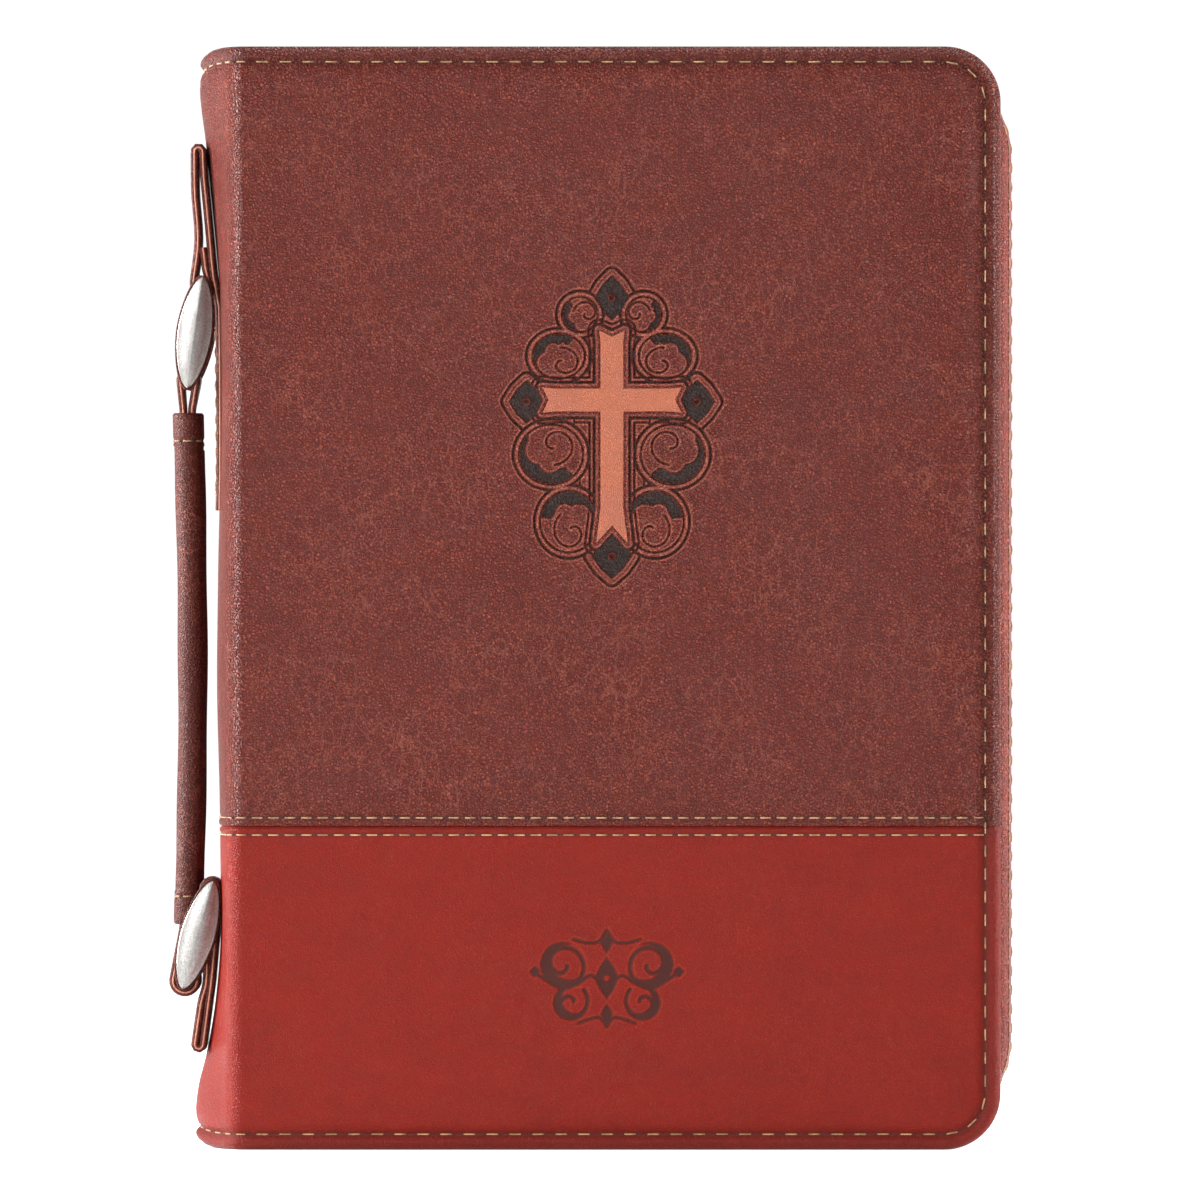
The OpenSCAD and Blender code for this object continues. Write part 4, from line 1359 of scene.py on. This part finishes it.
def strap_section(half_w, half_t):
    """Section of a strap as (across its thickness, along Y), with rounded cut edges."""
    r = 0.7 * half_t
    right = [(half_t, half_w - r), (0.85 * half_t, half_w - 0.35 * r), (0.45 * half_t, half_w)]
    quarter = right + [(-t, y) for t, y in right[::-1]]
    return quarter + [(-t, -y) for t, y in quarter]


def strap(name, path, body, half_widths=None, node=None):
    """A flat strap along a path in X and Z, with a bead of edge paint along each cut edge, coloured light copper
    to paint in the edge's highlight line.
    """
    path = resample(path, 0.9)
    along = unit(np.gradient(path, axis=0))
    normal = np.stack([along[:, 1], -along[:, 0]], axis=1)
    if half_widths is None:
        widths = np.full(len(path), STRAP_HALF_W)
    else:
        widths = np.interp(path[:, 1], *zip(*half_widths))
    rings = []
    for (x, z), (nx, nz), half_w in zip(path, normal, widths):
        rings.append([(x + nx * t, y, z + nz * t) for t, y in strap_section(half_w, 0.5 * STRAP_T)])
    piece = swept(name, rings, body=body, slot="strap_leather", material=MAT["strap"], sharp=60)
    turn = np.linspace(0, 2 * math.pi, 8, endpoint=False)
    # edge paint coloured light copper: partly the real painted edge, partly a painted highlight line
    paint = []
    for side in (FRONT, BACK):
        rings = [[(x + nx * 0.26 * math.cos(a), side * (half_w - 0.08) + 0.2 * math.sin(a),
                   z + nz * 0.26 * math.cos(a)) for a in turn]
                 for (x, z), (nx, nz), half_w in zip(path, normal, widths)]
        paint.append((np.reshape(rings, (-1, 3)), swept_faces(len(path), len(turn))))
    points, faces = joined(paint)
    new_mesh(name + "_edge_paint_highlight", points, faces, body=body, slot="strap_leather",
             material=MAT["edge"], sharp=80)
    if node:
        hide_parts(node)
    return path, normal


def on_spine(z, gap=0.0):
    """X of the middle of a strap that lies on the spine."""
    return SPINE_X - spine_swell(z) - 0.5 * STRAP_T - gap


SEWN_SINK = 1.0           # how far the sewn end of the strap is pressed into the padding


def sewn_face(z):
    """X of the outer face of a strap sewn down on the spine."""
    return on_spine(z, -SEWN_SINK) - 0.5 * STRAP_T


def strap_stitches(name, low, high, body):
    spots = []
    for side in (FRONT, BACK):
        y = side * (STRAP_HALF_W - 1.6)

        def at(s):
            return np.array([sewn_face(low + s), y, low + s]), np.array([-1.0, 0, 0])

        spots += spots_along(high - low, 4.2, 3.1, at)
    for z in (low + 1.2, high - 1.2):
        for y in np.arange(-5.4, 5.5, 3.6):
            ends = [(sewn_face(z), y + reach, z) for reach in (-1.4, 1.4)]
            spots.append((*ends, (-1.0, 0, 0)))
    stitch_row(name, spots, lambda piece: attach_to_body(piece, body))


def make_anchors():
    """The two straps that hang the links on the spine, each folded back on itself."""
    top_fold = (-5.0, 250.2)
    anchor_x = box_mm("upper_anchor_strap")[1].x - 0.5 * CAD_STRAP_T
    centre = Vector((anchor_x + top_fold[0] + 0.2, 0, top_fold[1]))
    sewn = [(on_spine(z, -SEWN_SINK), z) for z in np.linspace(160, 211, 14)]
    leg = [(on_spine(z, 0.15), z) for z in np.linspace(219, 244, 6)]
    bend = loop(centre, 0.0, 1.0, radius=FOLD_BEND_R)
    down = smooth_curve([bend[-1], (centre.x - 0.9, 240.0), (anchor_x - 4.9, 228.0),
                         (UPPER_BAR.x - LOOP_R, UPPER_BAR.z + 1.0)])[1:]
    tail = [(UPPER_BAR.x + 1.0, UPPER_BAR.z + 4.0), (UPPER_BAR.x + 0.35, UPPER_BAR.z + 9.5)]
    path = (sewn + leg + bend + [tuple(p) for p in down] + loop(UPPER_BAR, 1.0, 2.0)[1:] + tail)
    strap("upper_anchor_leather", path, "case_spine", node="upper_anchor_strap")
    strap_stitches("upper_anchor_stitches", 163.0, 207.0, "case_spine")

    centre = Vector((anchor_x - 4.7, 0, 25.8))
    top = [(on_spine(60.0), 60.0), (on_spine(54.0, 0.1), 54.0), (on_spine(42.0, 0.3), 42.0)]
    bend = loop(centre, 0.0, -1.0, radius=FOLD_BEND_R)
    up = smooth_curve([bend[-1], (anchor_x - 4.2, 36.0), (anchor_x - 2.7, 44.0),
                       (LOWER_BAR.x - LOOP_R, LOWER_BAR.z - 1.0)])[1:]
    path = top + bend + [tuple(p) for p in up] + loop(LOWER_BAR, 1.0, 0.05)[1:]
    path = path + [(LOWER_BAR.x + 0.9, LOWER_BAR.z - 5.0)]
    strap("lower_anchor_leather", path, "case_spine", node="lower_anchor_strap")


GRIP_BOW = 1.1
LOWER_LOOP_PLAY = 0.95      # the open end of the linkage: the bar wanders in its loop


def grip_radius(z):
    """The grip tapers downwards and has a collar at each end."""
    t = (z - GRIP_LOW.z) / (GRIP_HIGH.z - GRIP_LOW.z)
    radius = GRIP_R - 0.25 + 0.25 * t
    ends = np.minimum(z - GRIP_LOW.z, GRIP_HIGH.z - z)
    radius += 0.22 * smooth_step((8.6 - ends) / 0.5)
    radius -= 0.28 * bell((ends - 7.0) / 0.5)
    radius += 0.1 * np.sin(z / 6.1) * smooth_step((ends - 10) / 10)
    return radius - 0.45 * smooth_step(1 - ends / 0.5)


def grip_middle(z):
    t = (z - GRIP_LOW.z) / (GRIP_HIGH.z - GRIP_LOW.z)
    return GRIP_X + GRIP_BOW * np.sin(math.pi * t) * (1 - 0.15 * t)


GRIP_SEAM_R = 0.5


GRIP_COLLAR = 9.5
GRIP_FINE_STEP, GRIP_STEP = 0.25, 1.1
GRIP_ROW_INSET = 7.0


def grip_ring(turn, z, shift=0.0, radius_change=0.0):
    """One ring round the grip at a height z, drawn shift higher."""
    r = grip_radius(z) + radius_change
    return np.column_stack([grip_middle(z) + r * np.cos(turn), r * np.sin(turn),
                            np.full(len(turn), z + shift)])


def make_grip_wrap():
    """The leather wrapped round the grip, with the ridge of its seam facing the spine."""
    low, high = GRIP_LOW.z, GRIP_HIGH.z
    stations = spread(low, high, GRIP_STEP, fine=[(low, low + GRIP_COLLAR, GRIP_FINE_STEP),
                                                  (high - GRIP_COLLAR, high, GRIP_FINE_STEP)])
    turn = np.linspace(-math.pi, math.pi, 44, endpoint=False)
    fold = GRIP_SEAM_R * bell(turn / 0.2)
    rings = [grip_ring(turn, z, 0.0, fold * (1.0 if abs(z - 0.5 * (low + high)) < 55 else 0.5))
             for z in stations]
    for inset, depth in ((0.1, 1.2), (3.0, 1.5)):
        rings.append(grip_ring(turn, high, -inset, -depth))
        rings.insert(0, grip_ring(turn, low, inset, -depth))
    sleeve = swept("grip_wrap", rings, body="grip", slot="strap_leather", material=MAT["strap"],
                   sharp=60)
    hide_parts("grip_sleeve")


def make_grip_stitches():
    spots = []
    for z in (GRIP_HIGH.z - GRIP_ROW_INSET, GRIP_LOW.z + GRIP_ROW_INSET):
        middle = np.array([grip_middle(z), 0, z])
        r = grip_radius(z) + 0.1
        for a in np.arange(0.35, 2 * math.pi - 0.3, 0.98):
            out = [np.array([math.cos(b), math.sin(b), 0.0]) for b in (a, a + 0.72)]
            spots.append((middle + r * out[0], middle + r * out[1], out[0] + out[1]))
    stitch_row("grip_stitches", spots, lambda piece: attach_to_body(piece, "grip"))


def make_grip_straps():
    """The two straps that join the grip to the bars of the links."""
    for name, bar, end, up in (("upper", GRIP_TOP_BAR, GRIP_HIGH.z, 1),
                               ("lower", GRIP_LOW_BAR, GRIP_LOW.z, -1)):
        gap = 0.5 * STRAP_T + 0.1
        foot = grip_middle(end)
        inner = end - up * 5.0
        reach = LOOP_R + (0.0 if up > 0 else LOWER_LOOP_PLAY)
        path = ([(foot - gap, inner), (foot - gap, end + up * 0.8)]
                + loop(bar, 1.0, 1.0 - up, radius=reach)
                + [(foot + gap, end + up * 0.8), (foot + gap, inner)])
        shoulder = bar.z - up * 1.5
        widths = sorted([(inner, 2.2), (end + up * 0.5, 3.1), (shoulder, STRAP_HALF_W)])
        strap(f"grip_{name}_leather", path, "grip", half_widths=widths,
              node=f"grip_{name}_strap")


def make_grip():
    make_grip_wrap()
    make_grip_stitches()
    make_grip_straps()


LEAF_HALF_L = 0.5 * LINK_L + 2
LEAF_HALF_W = 4.3
LEAF_POINT = 1.7
LEAF_BASE, LEAF_RIDGE = 0.8, 2.2
LEAF_FACE = box_mm("upper_link_backing")[1].y


def leaf_width(t):
    return LEAF_HALF_W * (1 - np.abs(t) ** LEAF_POINT) ** (1 / LEAF_POINT)


def leaf_rings():
    """A ridged leaf as rings of (along, across, height)."""
    rings = []
    for t in np.sin(np.linspace(-0.5, 0.5, 41) * math.pi):
        w = max(float(leaf_width(t)), 0.18)
        ridge = LEAF_BASE + (LEAF_RIDGE - LEAF_BASE) * (1 - abs(t) ** 3) * min(1, w / 1.2)
        rim = LEAF_BASE * min(1, 0.4 + w / 2.5)
        half = [(0.94 * w, 0.0), (w, 0.15), (w, rim - 0.25), (0.95 * w, rim), (0.9 * w, rim + 0.02),
                (0.55 * w, rim + 0.42 * (ridge - rim)), (0.06 * w, ridge)]
        section = half + [(-a, h) for a, h in half[::-1]]
        rings.append([(LEAF_HALF_L * t, a, h) for a, h in section])
    return np.array(rings)


def on_link(points, bar, tilt, side, level):
    """Leaf coordinates (along, across, height) laid on the line between a link's two bars."""
    down = np.array([-math.sin(tilt), 0, -math.cos(tilt)])
    across = np.array([math.cos(tilt), 0, -math.sin(tilt)])
    middle = np.array(bar) + 0.5 * LINK_L * down
    p = np.asarray(points, float)
    return (middle + p[..., :1] * down + p[..., 1:2] * across
            + (level + p[..., 2:3]) * np.array([0, side, 0]))


def leaf_pad():
    """The leather leaf behind the metal one."""
    t = np.sin(np.linspace(-0.5, 0.5, 31) * math.pi)
    right = [(a * (LEAF_HALF_L + 0.5), float(leaf_width(a)) + 0.5) for a in t]
    outline = right + [(a, -w) for a, w in right[::-1][1:-1]]
    return slab(outline[::-1], 0.0, 0.9, 0.2)


def make_links():
    upper_tilt = math.asin((UPPER_BAR.x - GRIP_TOP_BAR.x) / LINK_L)
    for name, bar, tilt in (("upper", UPPER_BAR, upper_tilt), ("lower", LOWER_BAR, LOWER_TILT)):
        body = f"{name}_link"
        leaves, pads = [], []
        for side in (FRONT, BACK):
            rings = on_link(leaf_rings(), bar, tilt, side, LEAF_FACE)
            leaves.append((rings.reshape(-1, 3), swept_faces(*rings.shape[:2])))
            points, faces = leaf_pad()
            pads.append((on_link(points, bar, tilt, side, LEAF_FACE - 0.9), faces))
        points, faces = joined(leaves)
        metal_leaf = new_mesh(f"{name}_link_leaves", points, faces, body=body, slot="old_silver",
                              material=MAT["silver"], sharp=24)
        points, faces = joined(pads)
        pad = new_mesh(f"{name}_link_pads", points, faces, body=body, slot="strap_leather",
                       material=MAT["strap"])
        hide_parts(f"{name}_link_backing")
        far = bar - LINK_L * Vector((math.sin(tilt), 0, math.cos(tilt)))
        for label, place in (("top", bar), ("bottom", far)):
            rod(f"{name}_link_{label}_bar", place.x, place.z, LEAF_FACE + 0.4, BAR_R,
                body=body, slot="old_silver", material=MAT["silver"])
        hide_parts(f"{name}_handle_link")


make_anchors()
make_grip()
make_links()


# ---------------------------------------------------------------- lining, sleeves and boards

LINING_T = 0.4
LINING_LOW, LINING_HIGH = box_mm("front_lining")
LINING_Y = -0.5 * (LINING_LOW.y + LINING_HIGH.y)
SPINE_LINING_X = box_mm("spine_lining")[0].x
SPINE_RADIUS = (HALF_T ** 2 + (FOLD_X - SPINE_X) ** 2) / (2 * (FOLD_X - SPINE_X))


def thick_sheet(path, thickness):
    """A closed ring of points on both sides of a path in X and Y."""
    along = unit(np.gradient(path, axis=0))
    normal = 0.5 * thickness * np.stack([-along[:, 1], along[:, 0]], axis=1)
    return np.vstack([path + normal, (path - normal)[::-1]])


def corner_cut(z, low, high, r):
    """How far a round corner takes a right edge in at a height z."""
    over = r - min(z - low, high - z)
    return r - math.sqrt(max(r * r - over * over, 0.0)) if over > 0 else 0.0


def lining_path(right):
    """Plan of the lining: the spine's middle, sharply round the fold, and along the cover."""
    y = np.linspace(0, HALF_T - 6.4, 14)
    spine = np.column_stack([SPINE_LINING_X + 0.2 + y * y / (2 * SPINE_RADIUS), -y])
    turn = [(spine[-1][0] + 0.25, -LINING_Y + 0.45), (spine[-1][0] + 1.2, -LINING_Y)]
    cover = [(x, -LINING_Y) for x in np.linspace(FOLD_X + 5, right, 40)]
    return np.vstack([spine, turn, cover])


def levels_between(low, high, r, step=6.0):
    """Heights that follow a round corner closely at both ends."""
    bend = r * (1 - np.cos(np.linspace(0, 0.5 * math.pi, 9)))
    return np.concatenate([low + bend, np.arange(low + r + step, high - r, step),
                           (high - bend)[::-1]])


def make_linings():
    r = CORNER_R - 1.5
    low, high = LINING_LOW.z, LINING_HIGH.z
    for side, word in ((FRONT, "front"), (BACK, "back")):
        rings = []
        for z in levels_between(low, high, r):
            path = lining_path(LINING_HIGH.x - corner_cut(z, low, high, r))
            share = spine_share(-path[:, 1] + 1.0) * (path[:, 0] < FOLD_X + 3)
            near = smooth_step((DIP_REACH - min(z, TOP_Z - z)) / DIP_REACH)
            dip = near * (TAIL_DIP if z < 0.5 * TOP_Z else -HEAD_DIP)
            path[:, 0] -= spine_swell(z) * share
            ring = thick_sheet(path, LINING_T)
            lift = dip * spine_dip(np.concatenate([share, share[::-1]]))
            rings.append(np.column_stack([ring[:, 0], -side * ring[:, 1], z + lift]))
        piece = swept(f"{word}_lining_cloth", rings, slot="lining", material=MAT["lining"])
        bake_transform(piece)
        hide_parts(f"{word}_lining", "spine_lining")


def make_spine_board():
    """The spine's stiffener follows the leather, flared at both ends."""
    across = np.linspace(-20.5, 20.5, 25)
    rings = []
    for z in np.linspace(4.0, TOP_Z - 4.0, 40):
        outer = [on_sheet(FRONT if u > 0 else BACK, abs(u), z, 1.45) for u in across]
        inner = [on_sheet(FRONT if u > 0 else BACK, abs(u), z, 2.75) for u in across[::-1]]
        rings.append(np.vstack([outer, inner]))
    piece = swept("spine_stiffener", rings, body="case_spine", slot="board", material=MAT["board"])
    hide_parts("spine_board")


SLEEVE_LOW, SLEEVE_HIGH = box_mm("front_sleeve")
SLEEVE_T = 0.7
SLEEVE_R = 15.0


def sleeve_drop(x, z):
    """How far the sleeve has gone down to the lining: 1 at its sewn edges."""
    right = 1 - smooth_step((SLEEVE_HIGH.x - x) / 12)
    ends = 1 - smooth_step(np.minimum(z - SLEEVE_LOW.z, SLEEVE_HIGH.z - z) / 1.3)
    return np.maximum(right, ends)


def make_sleeves():
    low, high, x0 = SLEEVE_LOW.z, SLEEVE_HIGH.z, SLEEVE_LOW.x
    levels = np.unique(np.concatenate([levels_between(low, high, SLEEVE_R),
                                       low + np.array([0.3, 0.7, 1.3, 2.0]),
                                       high - np.array([0.3, 0.7, 1.3, 2.0])]))
    reach = SLEEVE_HIGH.y - SLEEVE_LOW.y
    for side, word in ((FRONT, "front"), (BACK, "back")):
        rings = []
        for z in levels:
            right = SLEEVE_HIGH.x - corner_cut(z, low, high, SLEEVE_R)
            x = np.concatenate([np.linspace(x0, right - 14, 24), np.linspace(right - 13, right, 12)])
            top = -SLEEVE_HIGH.y + 0.08 * np.sin(x / 11 + z / 17)
            hem = 0.35 * bell((x - x0 - 0.5) / 0.8)
            drop = (reach - SLEEVE_T) * sleeve_drop(x + SLEEVE_HIGH.x - right, z)
            outer = np.column_stack([x, top + drop - hem, np.full(len(x), z)])
            inner = outer[::-1] + (0, SLEEVE_T, 0)
            ring = np.vstack([outer, inner]) * (1, -side, 1)
            ring[:, 1] = side * np.abs(ring[:, 1])
            rings.append(ring)
        piece = swept(f"{word}_sleeve_leather", rings, body=f"case_{word}",
                      slot="sleeve_leather", material=MAT["sleeve"], sharp=60)
        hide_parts(f"{word}_sleeve")

        def attach(piece, word=word):
            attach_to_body(piece, f"case_{word}")

        def on_hem(s):
            y = side * (-SLEEVE_HIGH.y - 0.15)
            return np.array([x0 + 2.6, y, low + 3 + s]), np.array([0, -side, 0.0])

        stitch_row(f"{word}_sleeve_stitches", spots_along(high - low - 6, 4.2, 3.1, on_hem), attach)


make_linings()
make_spine_board()
make_sleeves()


# ---------------------------------------------------------------- the bible

BIBLE_LOW, BIBLE_HIGH = box_mm("bible_front_cover")
BIBLE_SPINE_LOW, BIBLE_SPINE_HIGH = box_mm("bible_spine")
LEAVES_LOW, LEAVES_HIGH = box_mm("bible_front_leaves")
BAND_LOW, BAND_HIGH = box_mm("front_headbands")
RIBBON_LOW, RIBBON_HIGH = box_mm("ribbon_marker")


def right_rounded(x0, x1, z0, z1, r, small=0.8):
    """Anticlockwise outline in X and Z with round right corners."""
    turn = np.linspace(0, 0.5 * math.pi, 8)
    corners = ((x1 - r, z1 - r, r, 0.0), (x0 + small, z1 - small, small, 0.5),
               (x0 + small, z0 + small, small, 1.0), (x1 - r, z0 + r, r, 1.5))
    return [(cx + k * math.cos(t + q * math.pi), cz + k * math.sin(t + q * math.pi))
            for cx, cz, k, q in corners for t in turn]


def make_bible_covers():
    outline = right_rounded(BIBLE_LOW.x, BIBLE_HIGH.x, BIBLE_LOW.z, BIBLE_HIGH.z, 5.0)
    for side, word in ((FRONT, "front"), (BACK, "back")):
        low, high = sorted((side * -BIBLE_LOW.y, side * -BIBLE_HIGH.y))
        points, faces = upright_slab(outline, low, high, 0.4)
        cover = new_mesh(f"bible_{word}_board", points, faces, body=f"case_{word}",
                         slot="bible_cover", material=MAT["bible"])
        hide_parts(f"bible_{word}_cover")
    reach = BIBLE_SPINE_HIGH.y - 0.7
    z0, z1 = BIBLE_SPINE_LOW.z, BIBLE_SPINE_HIGH.z
    rings = []
    for z in spread(z0, z1, 2.0):
        band = sum(bell((z - c) / 1.6) for c in np.linspace(z0 + 30, z1 - 30, 5))
        y = np.linspace(-reach, reach, 21)
        bow = 0.35 * (y / reach) ** 2
        outer = np.column_stack([BIBLE_SPINE_LOW.x + 0.3 + bow - 0.25 * band, y, np.full(21, z)])
        inner = np.column_stack([np.full(21, BIBLE_SPINE_HIGH.x), y[::-1], np.full(21, z)])
        rings.append(np.vstack([outer, inner]))
    spine = swept("bible_spine_leather", rings, body="case_spine", slot="bible_cover",
                  material=MAT["bible"])
    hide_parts("bible_spine")


def make_leaves():
    """Each half of the block of leaves, rounded at the back and hollow at the fore-edge."""
    z0, z1 = LEAVES_LOW.z, LEAVES_HIGH.z
    x0, x1 = LEAVES_LOW.x, LEAVES_HIGH.x
    y0, y1 = -LEAVES_HIGH.y, -LEAVES_LOW.y
    for side, word, body in ((FRONT, "front", "leaves"), (BACK, "back", "case_back")):
        across = np.linspace(y0, y1, 9)
        hollow = 0.9 * (1 - ((across - y0) / (y1 - y0)) ** 2)
        fore = [(x1 - h, y) for h, y in zip(hollow, across)]
        root = [(x0 + 0.5 * ((y - y0) / (y1 - y0)) ** 2, y) for y in across[::-1]]
        outer = [(x, y1) for x in np.linspace(x1 - 3, x0 + 3, 12)]
        facing = [(x, y0) for x in np.linspace(x0 + 3, x1 - 3, 12)]
        ring = np.array(fore + outer + root + facing)
        middle = ring.mean(axis=0)
        rings = []
        for z, grow in ((z0, 0.15), (z0 + 0.15, 0.0), (z1 - 0.15, 0.0), (z1, 0.15)):
            shrunk = middle + (ring - middle) * (1 - grow / 20)
            rings.append(np.column_stack([shrunk[:, 0], side * shrunk[:, 1], np.full(len(ring), z)]))
        block = swept(f"bible_{word}_pages", rings, body=body, slot="paper",
                      material=MAT["paper"], sharp=30)
        block.data.materials.append(MAT["page"])
        for face in block.data.polygons:
            face.material_index = int(abs(face.normal.y) > 0.9)
        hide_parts(f"bible_{word}_leaves")


def make_headbands():
    """Sewn bands at the head and tail of each half."""
    y0, y1 = -BAND_HIGH.y, -BAND_LOW.y
    x = 0.5 * (BAND_LOW.x + BAND_HIGH.x)
    r = 0.5 * (BAND_HIGH.x - BAND_LOW.x)
    turn = np.linspace(0, 2 * math.pi, 12, endpoint=False)
    for side, word, body in ((FRONT, "front", "leaves"), (BACK, "back", "case_back")):
        parts = []
        for z in (BAND_LOW.z + r, BAND_HIGH.z - r):
            rings = []
            for y in np.arange(y0 + 0.05, y1 - 0.05, 0.22):
                fat = r * (0.86 + 0.12 * abs(math.sin(y * math.pi / 0.9)))
                rings.append([(x + fat * math.cos(a), side * y, z + fat * math.sin(a)) for a in turn])
            parts.append((np.reshape(rings, (-1, 3)), swept_faces(len(rings), len(turn))))
        points, faces = joined(parts)
        band = new_mesh(f"bible_{word}_headbands", points, faces, body=body, slot="band_leather",
                        material=MAT["headband"])
        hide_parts(f"{word}_headbands")


def make_ribbon():
    """A satin ribbon with a notched tail that hangs below the leaves."""
    x0, x1 = RIBBON_LOW.x, RIBBON_HIGH.x
    across = np.linspace(x0, x1, 9)
    notch = 2.6 * (1 - np.abs(across - 0.5 * (x0 + x1)) / (0.5 * (x1 - x0)))
    low, high = RIBBON_LOW.z, RIBBON_HIGH.z
    rings = []
    for t in np.concatenate([np.linspace(0, 0.1, 12), np.linspace(0.13, 1, 24)]):
        z = low + notch * (1 - t) + t * (high - low)
        wave = 0.06 * np.sin(z / 4.0 + across) * smooth_step((z - low - 6) / 10)
        outer = np.column_stack([across, wave - 0.07, z])
        rings.append(np.vstack([outer, outer[::-1] + (0, 0.14, 0)]))
    ribbon = swept("satin_ribbon", rings, body="case_back", slot="ribbon", material=MAT["ribbon"])
    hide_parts("ribbon_marker")


make_bible_covers()
make_leaves()
make_headbands()
make_ribbon()


# ---------------------------------------------------------------- the cross and hidden layers

INLAY_DEPTH = CROSS_HIGH.y - CROSS_LOW.y


def make_cross():
    """The light leather cross, let into its bed with softened edges."""
    outline = cross_outline()
    size = len(outline)
    levels = ((0.9 * INLAY_DEPTH, 0.0), (0.12, 0.0), (0.0, 0.12), (-0.05, 0.4))
    rings = [(inset_ring(outline, inset), depth) for depth, inset in levels]
    points = np.vstack([np.column_stack([CROSS_X + ring[:, 0], np.full(size, depth - HALF_T),
                                         CROSS_Z + ring[:, 1]]) for ring, depth in rings])
    faces = grid_faces(len(levels), size, close_cols=True)
    for first, turned in ((0, True), ((len(levels) - 1) * size, False)):
        arms = [[first + 6 * k + i for i in range(6)] + [first + (6 * k + 6) % size]
                for k in range(4)]
        lids = [[arm[0] for arm in arms]]
        for a, b, c, d, e, f, g in arms:
            lids += [[a, b, f, g], [b, c, d], [d, e, f], [b, d, f]]
        faces += [lid[::-1] if turned else lid for lid in lids]
    piece = new_mesh("cross_leather", points, faces, body="case_front", slot="inlay_leather",
                     material=MAT["inlay"], sharp=50)
    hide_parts("cross_inlay")


def dress_hidden_layers():
    """Foam and boards stay as they are in the CAD model, under the leather."""
    for word in ("front", "back"):
        for kind in ("foam", "board"):
            mesh = frame["nodes"][f"{word}_{kind}"].data
            mesh.materials.clear()
            mesh.materials.append(MAT[kind])


def make_grip_core():
    """The round filler inside the grip, bowed with it."""
    low, high = box_mm("grip_core")
    r = 0.5 * (high.y - low.y) - 0.15
    turn = np.linspace(0, 2 * math.pi, 16, endpoint=False)
    rings = [[(grip_middle(z) + r * math.cos(a), r * math.sin(a), z) for a in turn]
             for z in np.linspace(low.z, high.z, 24)]
    core = swept("grip_filler", rings, body="grip", slot="foam", material=MAT["foam"])
    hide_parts("grip_core")


make_cross()
make_grip_core()
dress_hidden_layers()


# ---------------------------------------------------------------- stage, light and camera

CENTRE_X = 2.0
CENTRE_Z = 137.5
FRAME_W = 300.0           # width of the picture at the front cover
CAMERA_AWAY = 4200.0


def stage_plane(name, corners):
    g = Graph(name)
    speck = g.noise(g.place(), 60.0, detail=2.0)
    behind = g.add("SeparateXYZ", {0: g.place()}).outputs["Y"]
    # painted light: the floor glows, from nothing in front to bright behind the object
    painted_floor_glow = g.ramp(behind, -250.0, 350.0, 0.0, 0.75)
    g.shade(Base_Color=g.mix(speck, (0.93, 0.93, 0.93), (0.96, 0.96, 0.96)), Roughness=0.9,
            Emission_Color=(1, 1, 1), Emission_Strength=painted_floor_glow)
    new_mesh(name, corners, [[0, 1, 2, 3]], material=g.material)


def area_light(name, place, aim, width, height, power):
    light = bpy.data.lights.new(name, "AREA")
    light.shape = "RECTANGLE"
    light.size = width * MM
    light.size_y = height * MM
    light.energy = power
    lamp = bpy.data.objects.new(name, light)
    bpy.context.scene.collection.objects.link(lamp)
    lamp.location = Vector(place) * MM
    lamp.rotation_euler = (Vector(aim) - Vector(place)).to_track_quat("-Z", "Y").to_euler()


def soft_room():
    """A soft grey room with a white far wall, so that the leather keeps its depth."""
    world = bpy.data.worlds.new("soft_room")
    world.use_nodes = True
    tree = world.node_tree
    place = tree.nodes.new("ShaderNodeTexCoord")
    split = tree.nodes.new("ShaderNodeSeparateXYZ")
    scale = tree.nodes.new("ShaderNodeMapRange")
    scale.interpolation_type = "SMOOTHSTEP"
    tree.links.new(place.outputs["Generated"], split.inputs[0])
    tree.links.new(split.outputs["Y"], scale.inputs["Value"])
    for key, value in (("From Min", 0.93), ("From Max", 0.995), ("To Min", 0.36), ("To Max", 1.05)):
        scale.inputs[key].default_value = value
    background = tree.nodes["Background"]
    background.inputs["Color"].default_value = (1, 1, 1, 1)
    tree.links.new(scale.outputs["Result"], background.inputs["Strength"])
    bpy.context.scene.world = world


def make_stage():
    """A white floor, a soft room, two tall boxes for the edges and two lights for the front."""
    reach = 9000.0
    stage_plane("floor", [(-reach, -reach, 0), (reach, -reach, 0), (reach, reach, 0),
                          (-reach, reach, 0)])
    soft_room()
    aim = (0, 0, CENTRE_Z)
    area_light("left_box", (-1000, 150, 200), aim, 220, 1300, 40)
    area_light("right_box", (1000, 60, 200), aim, 220, 1300, 26)
    area_light("key_box", (-900, -700, 600), aim, 350, 450, 15)
    area_light("fill_box", (800, -900, 700), aim, 450, 450, 6)


def make_camera():
    camera = bpy.data.cameras.new("camera")
    camera.sensor_width = 36
    camera.lens = camera.sensor_width * CAMERA_AWAY / FRAME_W
    camera.clip_end = 100
    holder = bpy.data.objects.new("camera", camera)
    bpy.context.scene.collection.objects.link(holder)
    holder.location = Vector((CENTRE_X, -HALF_T - CAMERA_AWAY, CENTRE_Z)) * MM
    holder.rotation_euler = (0.5 * math.pi, 0, 0)
    bpy.context.scene.camera = holder


make_stage()
make_camera()
bpy.context.scene.view_settings.view_transform = "Standard"
